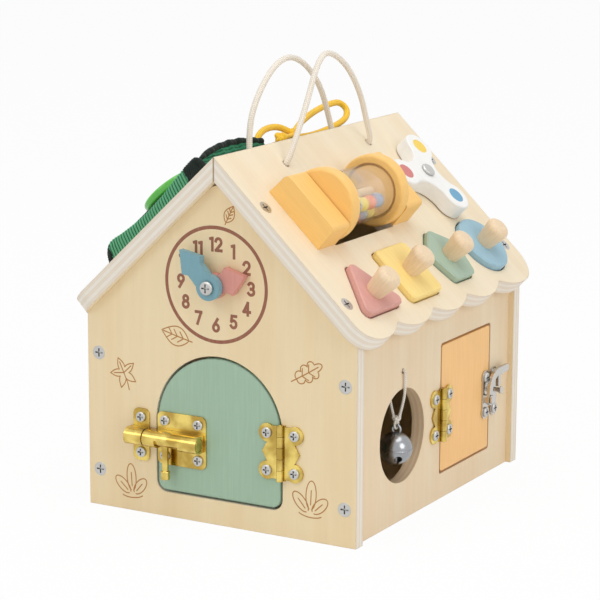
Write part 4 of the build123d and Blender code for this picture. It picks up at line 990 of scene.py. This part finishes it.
DRUM_AXIS = right_roof(52.8, -0.1489 * ROOF_LENGTH, 8.5)
BEAD_RADIUS, BEAD_CIRCLE, BEAD_PITCH, BEAD_ROWS = 4.38, 10.65, 9.1, 4
BEAD_ANGLES = (-165.0, -115.0, -65.0, -15.0)
bead_order = [0, 1, 2, 0, 2, 0, 2, 1, 1, 0, 0, 2, 0, 2, 1, 0]
bead_meshes = []
for name, colour in (
    ("bead_blue", rgb(146, 160, 182)),
    ("bead_yellow", rgb(240, 212, 70)),
    ("bead_coral", rgb(240, 142, 100)),
):
    ball = bmesh.new()
    bmesh.ops.create_uvsphere(ball, u_segments=36, v_segments=24, radius=BEAD_RADIUS * MM)
    mesh = bpy.data.meshes.new("bead")
    ball.to_mesh(mesh)
    ball.free()
    mesh.shade_smooth()
    mesh.materials.append(plastic(name, colour, 0.18))
    bead_meshes.append(mesh)
for number, colour in enumerate(bead_order):
    row, column = divmod(number, len(BEAD_ANGLES))
    a = radians(BEAD_ANGLES[column])
    along = (row - (BEAD_ROWS - 1) / 2) * BEAD_PITCH
    bead = show("bead_%02d" % number, bead_meshes[colour])
    offset = Vector((BEAD_CIRCLE * cos(a), along, BEAD_CIRCLE * sin(a)))
    bead.location = DRUM_AXIS + offset * MM
    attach(bead, "drum")
    if number == 0:
        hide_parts("drum_beads")


# Print on the front gable: clock ring, numbers and small leaves

CAP_STEPS = 8
PRINT_PROUD, PRINT_LIFT, PRINT_LIFTS = 0.02, 0.004, 12


def ribbon(outline, width, square=False):
    """Flat line of even width, closed where its ends meet, else capped round or square."""
    line = [Vector(p) for p in outline]
    closed = (line[0] - line[-1]).length < 1e-6
    vertices, faces = [], []
    half = width / 2
    ends = (line[-2], line[1]) if closed else (line[0], line[-1])
    chain = [ends[0], *line, ends[1]]
    for i, (before, point, after) in enumerate(zip(chain, line, chain[2:])):
        ahead = (after - before).normalized()
        across = Vector((-ahead.y, ahead.x)) * half
        vertices += [point + across, point - across]
        if i:
            k = 2 * i
            faces.append((k - 2, k - 1, k + 1, k))
    if not closed:
        for point, toward in ((line[0], line[0] - line[1]), (line[-1], line[-1] - line[-2])):
            start = len(vertices)
            base = atan2(toward.y, toward.x)
            vertices.append(point)
            for k in range(CAP_STEPS + 1):
                a = -pi / 2 + pi * k / CAP_STEPS
                reach = half / max(abs(cos(a)), abs(sin(a))) if square else half
                vertices.append(point + Vector((cos(base + a), sin(base + a))) * reach)
            faces += [(start, start + k + 1, start + k + 2) for k in range(CAP_STEPS)]
    return vertices, faces


def printed(name, lines, finish):
    """Joins flat lines into one print on the gable; lines that cross lie at different depths."""
    vertices, faces = [], []
    for k, (points, shapes) in enumerate(lines):
        start = len(vertices)
        depth = FRONT - PRINT_PROUD - PRINT_LIFT * (k % PRINT_LIFTS)
        vertices += [Vector((p.x, depth, p.y)) * MM for p in points]
        faces += [tuple(start + i for i in face) for face in shapes]
    piece = mesh_piece(name, vertices, faces, finish, "house", smooth=False)


def placed(points, x, y, turn, size):
    """Points of a drawing turned by degrees, scaled and moved."""
    c, s = cos(radians(turn)), sin(radians(turn))
    return [(x + size * (px * c - py * s), y + size * (px * s + py * c)) for px, py in points]


# Each figure in a box 4.6 wide and 8 high, as strokes
figures = {
    "0": [bow(2.3, 4, 1.75, 3.3, 0, 360)],
    "1": [[(1.3, 6.9), (2.5, 7.2)], [(2.5, 7.2), (2.5, 0.7)]],
    "2": [bow(2.3, 5.35, 1.75, 1.95, 165, -35) + [(0.85, 0.95)], [(0.75, 0.75), (4.1, 0.75)]],
    "3": [bow(2.1, 5.6, 1.6, 1.65, 150, -90), bow(2.1, 2.35, 1.85, 1.65, 90, -150)],
    "4": [[(3.1, 0.7), (3.1, 7.2)], [(3.0, 7.0), (0.6, 2.4)], [(0.6, 2.3), (4.3, 2.3)]],
    "5": [
        [(3.8, 7.2), (1.3, 7.2)], [(1.25, 7.2), (0.95, 4.3)], bow(2.2, 2.75, 1.75, 2.0, 130, -150),
    ],
    "6": [[(3.2, 7.3), (0.95, 3.6)], bow(2.3, 2.6, 1.7, 1.9, 180, 540)],
    "7": [[(0.7, 7.2), (4.0, 7.2)], [(3.9, 7.1), (1.7, 0.7)]],
    "8": [bow(2.3, 5.75, 1.4, 1.5, -90, 270), bow(2.3, 2.45, 1.75, 1.75, 90, 450)],
    "9": [[(1.4, 0.7), (3.65, 4.4)], bow(2.3, 5.4, 1.7, 1.9, 0, 360)],
}
CLOCK = (-1.6, 142.02)
RING_RADIUS, RING_WIDTH = 33.1, 2.1
FIGURE_CIRCLE, FIGURE_SCALE, FIGURE_WIDTH, FIGURE_HALF = 23.4, 1.05, 1.75, 4.2


def clock_print():
    lines = [ribbon(bow(*CLOCK, RING_RADIUS, RING_RADIUS, 0, 360, 160), RING_WIDTH)]
    for hour in range(1, 13):
        digits = str(hour)
        widths = [3.6 if digit == "1" else 5.2 for digit in digits]
        a = radians(90 - 30 * hour)
        x = CLOCK[0] + FIGURE_CIRCLE * cos(a) - sum(widths) / 2
        y = CLOCK[1] + FIGURE_CIRCLE * sin(a) - FIGURE_HALF
        for digit, width in zip(digits, widths):
            left = x + (-0.5 if digit == "1" else 0.15)
            for stroke in figures[digit]:
                stroke = placed(stroke, left, y, 0, FIGURE_SCALE)
                lines.append(ribbon(stroke, FIGURE_WIDTH, True))
            x += width
    return lines


def plain_leaf():
    """Pointed oval with a midrib and paired veins."""
    upper = [(t, 0.30 * sin(pi * t**0.85)) for t in np.linspace(0, 1, 24)]
    lower = [(t, -rise) for t, rise in reversed(upper)]
    veins = [[(t, 0), (t + 0.17, side * 0.17)] for t in (0.2, 0.42, 0.62) for side in (-1, 1)]
    return [upper + lower[1:], [(-0.12, -0.02), (0.5, 0.0), (0.94, 0.0)]] + veins


def lobed_leaf():
    """Round-lobed leaf on a short stalk."""
    def lobe(first, last, bulge):
        first, last = Vector(first), Vector(last)
        middle, ahead = (first + last) / 2, (last - first).normalized()
        outward = Vector((-ahead.y, ahead.x)) * bulge
        angles = [pi * k / 12 for k in range(12)]
        return [tuple(middle + (first - middle) * cos(a) + outward * sin(a)) for a in angles]
    dips = [(0.06, 0.0), (0.30, 0.12), (0.55, 0.15), (0.78, 0.11)]
    dips += [(x, -y) for x, y in reversed(dips)]
    outline = []
    for first, last in zip(dips, dips[1:]):
        outline += lobe(first, last, 0.22 if first[0] == last[0] else 0.13)
    veins = [[(t, 0), (t + 0.12, side * 0.19)] for t in (0.26, 0.5) for side in (-1, 1)]
    return [outline + [outline[0]], [(-0.14, 0.02), (0.4, 0.0), (0.86, 0.0)]] + veins


def star_leaf():
    """Five pointed fingers round a stalk."""
    edge = []
    for finger in (-144, -72, 0, 72, 144):
        for k in range(-10, 10):
            t = 1 - abs(k) / 10
            a = radians(finger + copysign(36 * (1 - t) ** 1.4, k))
            reach = 0.2 + 0.36 * t**0.85
            edge.append((reach * cos(a), reach * sin(a)))
    ribs = [placed([(0, 0), (0.4, 0)], 0, 0, turn, 1) for turn in (-72, 0, 72)]
    return [edge + [edge[0]], [(-0.62, 0.05), (-0.35, 0.0), (0.0, 0.0)]] + ribs


def grass():
    """Three round-ended blades from one foot."""
    lines = []
    for turn, reach in ((134, 0.74), (90, 0.92), (46, 0.68)):
        blade = bow(reach * 0.58, 0, reach * 0.42, 0.15, -165, 165, 28)
        rib = [(0.3 * reach, 0), (0.72 * reach, 0)]
        lines += [placed(blade, 0, 0, turn, 1), placed(rib, 0, 0, turn, 1)]
    return lines + [bow(0, 0.06, 0.36, 0.12, 205, 335)]


LEAF_WIDTH = 0.64
# Drawing, place on the gable, turn in degrees, size
leaf_places = [
    (plain_leaf(), 5.0, 178.6, 62, 11.0),
    (plain_leaf(), -20.0, 107.0, 165, 19.0),
    (star_leaf(), -65.0, 83.0, 115, 17.0),
    (lobed_leaf(), 50.5, 93.0, 32, 20.0),
    (grass(), -59.6, 9.0, 4, 21.0),
    (grass(), 60.4, 15.5, -3, 22.0),
]
leaf_lines = [
    ribbon(placed(stroke, *place), LEAF_WIDTH)
    for drawing, *place in leaf_places for stroke in drawing
]
printed("clock_print", clock_print(), ink("clock_print", rgb(152, 98, 78), 0.18))
printed("leaf_lines", leaf_lines, ink("burnt_line", rgb(182, 126, 66), 0.2))


# Painted spots on the spinner

SPINNER = (51.9, 0.2911 * ROOF_LENGTH)
SPOT_CIRCLE, SPOT_RISE, SPOT_SIDES = 23.3, 11.03, 48
SPOT_RINGS = (2.4, 4.6, 5.4)
for name, turn, colour in (
    ("blue", 20.6, rgb(118, 170, 202)),
    ("yellow", 140.6, rgb(248, 214, 104)),
    ("pink", 260.6, rgb(214, 134, 132)),
):
    a = radians(turn)
    u, y = SPINNER[0] + SPOT_CIRCLE * cos(a), SPINNER[1] + SPOT_CIRCLE * sin(a)
    vertices = [right_roof(u, y, SPOT_RISE)]
    faces = []
    for radius in SPOT_RINGS:
        start = len(vertices)
        ring = bow(u, y, radius, radius, 0, 360, SPOT_SIDES)[:-1]
        vertices += [right_roof(*place, SPOT_RISE) for place in ring]
        for k in range(SPOT_SIDES):
            n = (k + 1) % SPOT_SIDES
            if start == 1:
                faces.append((0, start + k, start + n))
            else:
                inner = start - SPOT_SIDES
                faces.append((inner + k, start + k, start + n, inner + n))
    paint = ink("dot_" + name, colour)
    spot = mesh_piece("spinner_spot_" + name, vertices, faces, paint, "spinner", smooth=False)


# Floor, light and world

FLOOR_SIZE, FLOOR_GLOW, SKY_LIGHT = 6.0, 0.94, 0.5
# Name, place and size in metres, power in watts
LAMPS = (
    ("key", (-0.7, -1.7, 1.5), 1.4, 9.6),
    ("top", (0.3, -0.1, 2.0), 1.8, 14.6),
    ("fill", (1.9, -0.5, 0.9), 1.2, 8.4),
)
LAMP_AIM = Vector((0, 0, 0.12))


def seen_rays(beside):
    """One for rays from the camera, from mirrors and through clear pieces, else zero."""
    rays = beside.id_data.nodes.new("ShaderNodeLightPath").outputs
    seen = calc("MAXIMUM", rays["Is Camera Ray"], rays["Is Glossy Ray"])
    return calc("MAXIMUM", seen, rays["Is Transmission Ray"])


def make_stage():
    made, bsdf, where, _ = material("studio_floor")
    cloud = speckle(where, 0.004, 2.0)
    shade = blend(cloud, (0.90, 0.90, 0.90, 1.0), (0.93, 0.93, 0.925, 1.0))
    settle(bsdf, Base_Color=shade, Roughness=0.9, Specular_IOR_Level=0.1)
    glow = put(bsdf, "Emission", (1.0, 1.0, 1.0, 1.0), 1.0)
    share = calc("MULTIPLY", seen_rays(bsdf), FLOOR_GLOW)
    mixed = put(bsdf, "MixShader", share, bsdf.outputs[0], glow)
    settle(made.node_tree.nodes["Material Output"], Surface=mixed)
    mesh = bpy.data.meshes.new("studio_floor")
    corners = ((-1, -1), (1, -1), (1, 1), (-1, 1))
    mesh.from_pydata([(x * FLOOR_SIZE, y * FLOOR_SIZE, 0) for x, y in corners], [], [(0, 1, 2, 3)])
    mesh.materials.append(made)
    floor = show("studio_floor", mesh)

    world = bpy.data.worlds.new("studio")
    scene.world = world
    world.use_nodes = True
    ground = world.node_tree.nodes["Background"]
    strength = put(ground, "MapRange", seen_rays(ground), 0.0, 1.0, SKY_LIGHT, 1.0)
    settle(ground, Color=(1, 1, 1, 1), Strength=strength)

    for name, place, size, power in LAMPS:
        data = bpy.data.lights.new(name, "AREA")
        data.shape = "DISK"
        data.size = size
        data.energy = power
        lamp = show(name, data)
        lamp.location = place
        lamp.rotation_mode = "QUATERNION"
        lamp.rotation_quaternion = (Vector(place) - LAMP_AIM).to_track_quat("Z", "Y")
    scene.view_settings.view_transform = "Standard"


make_stage()
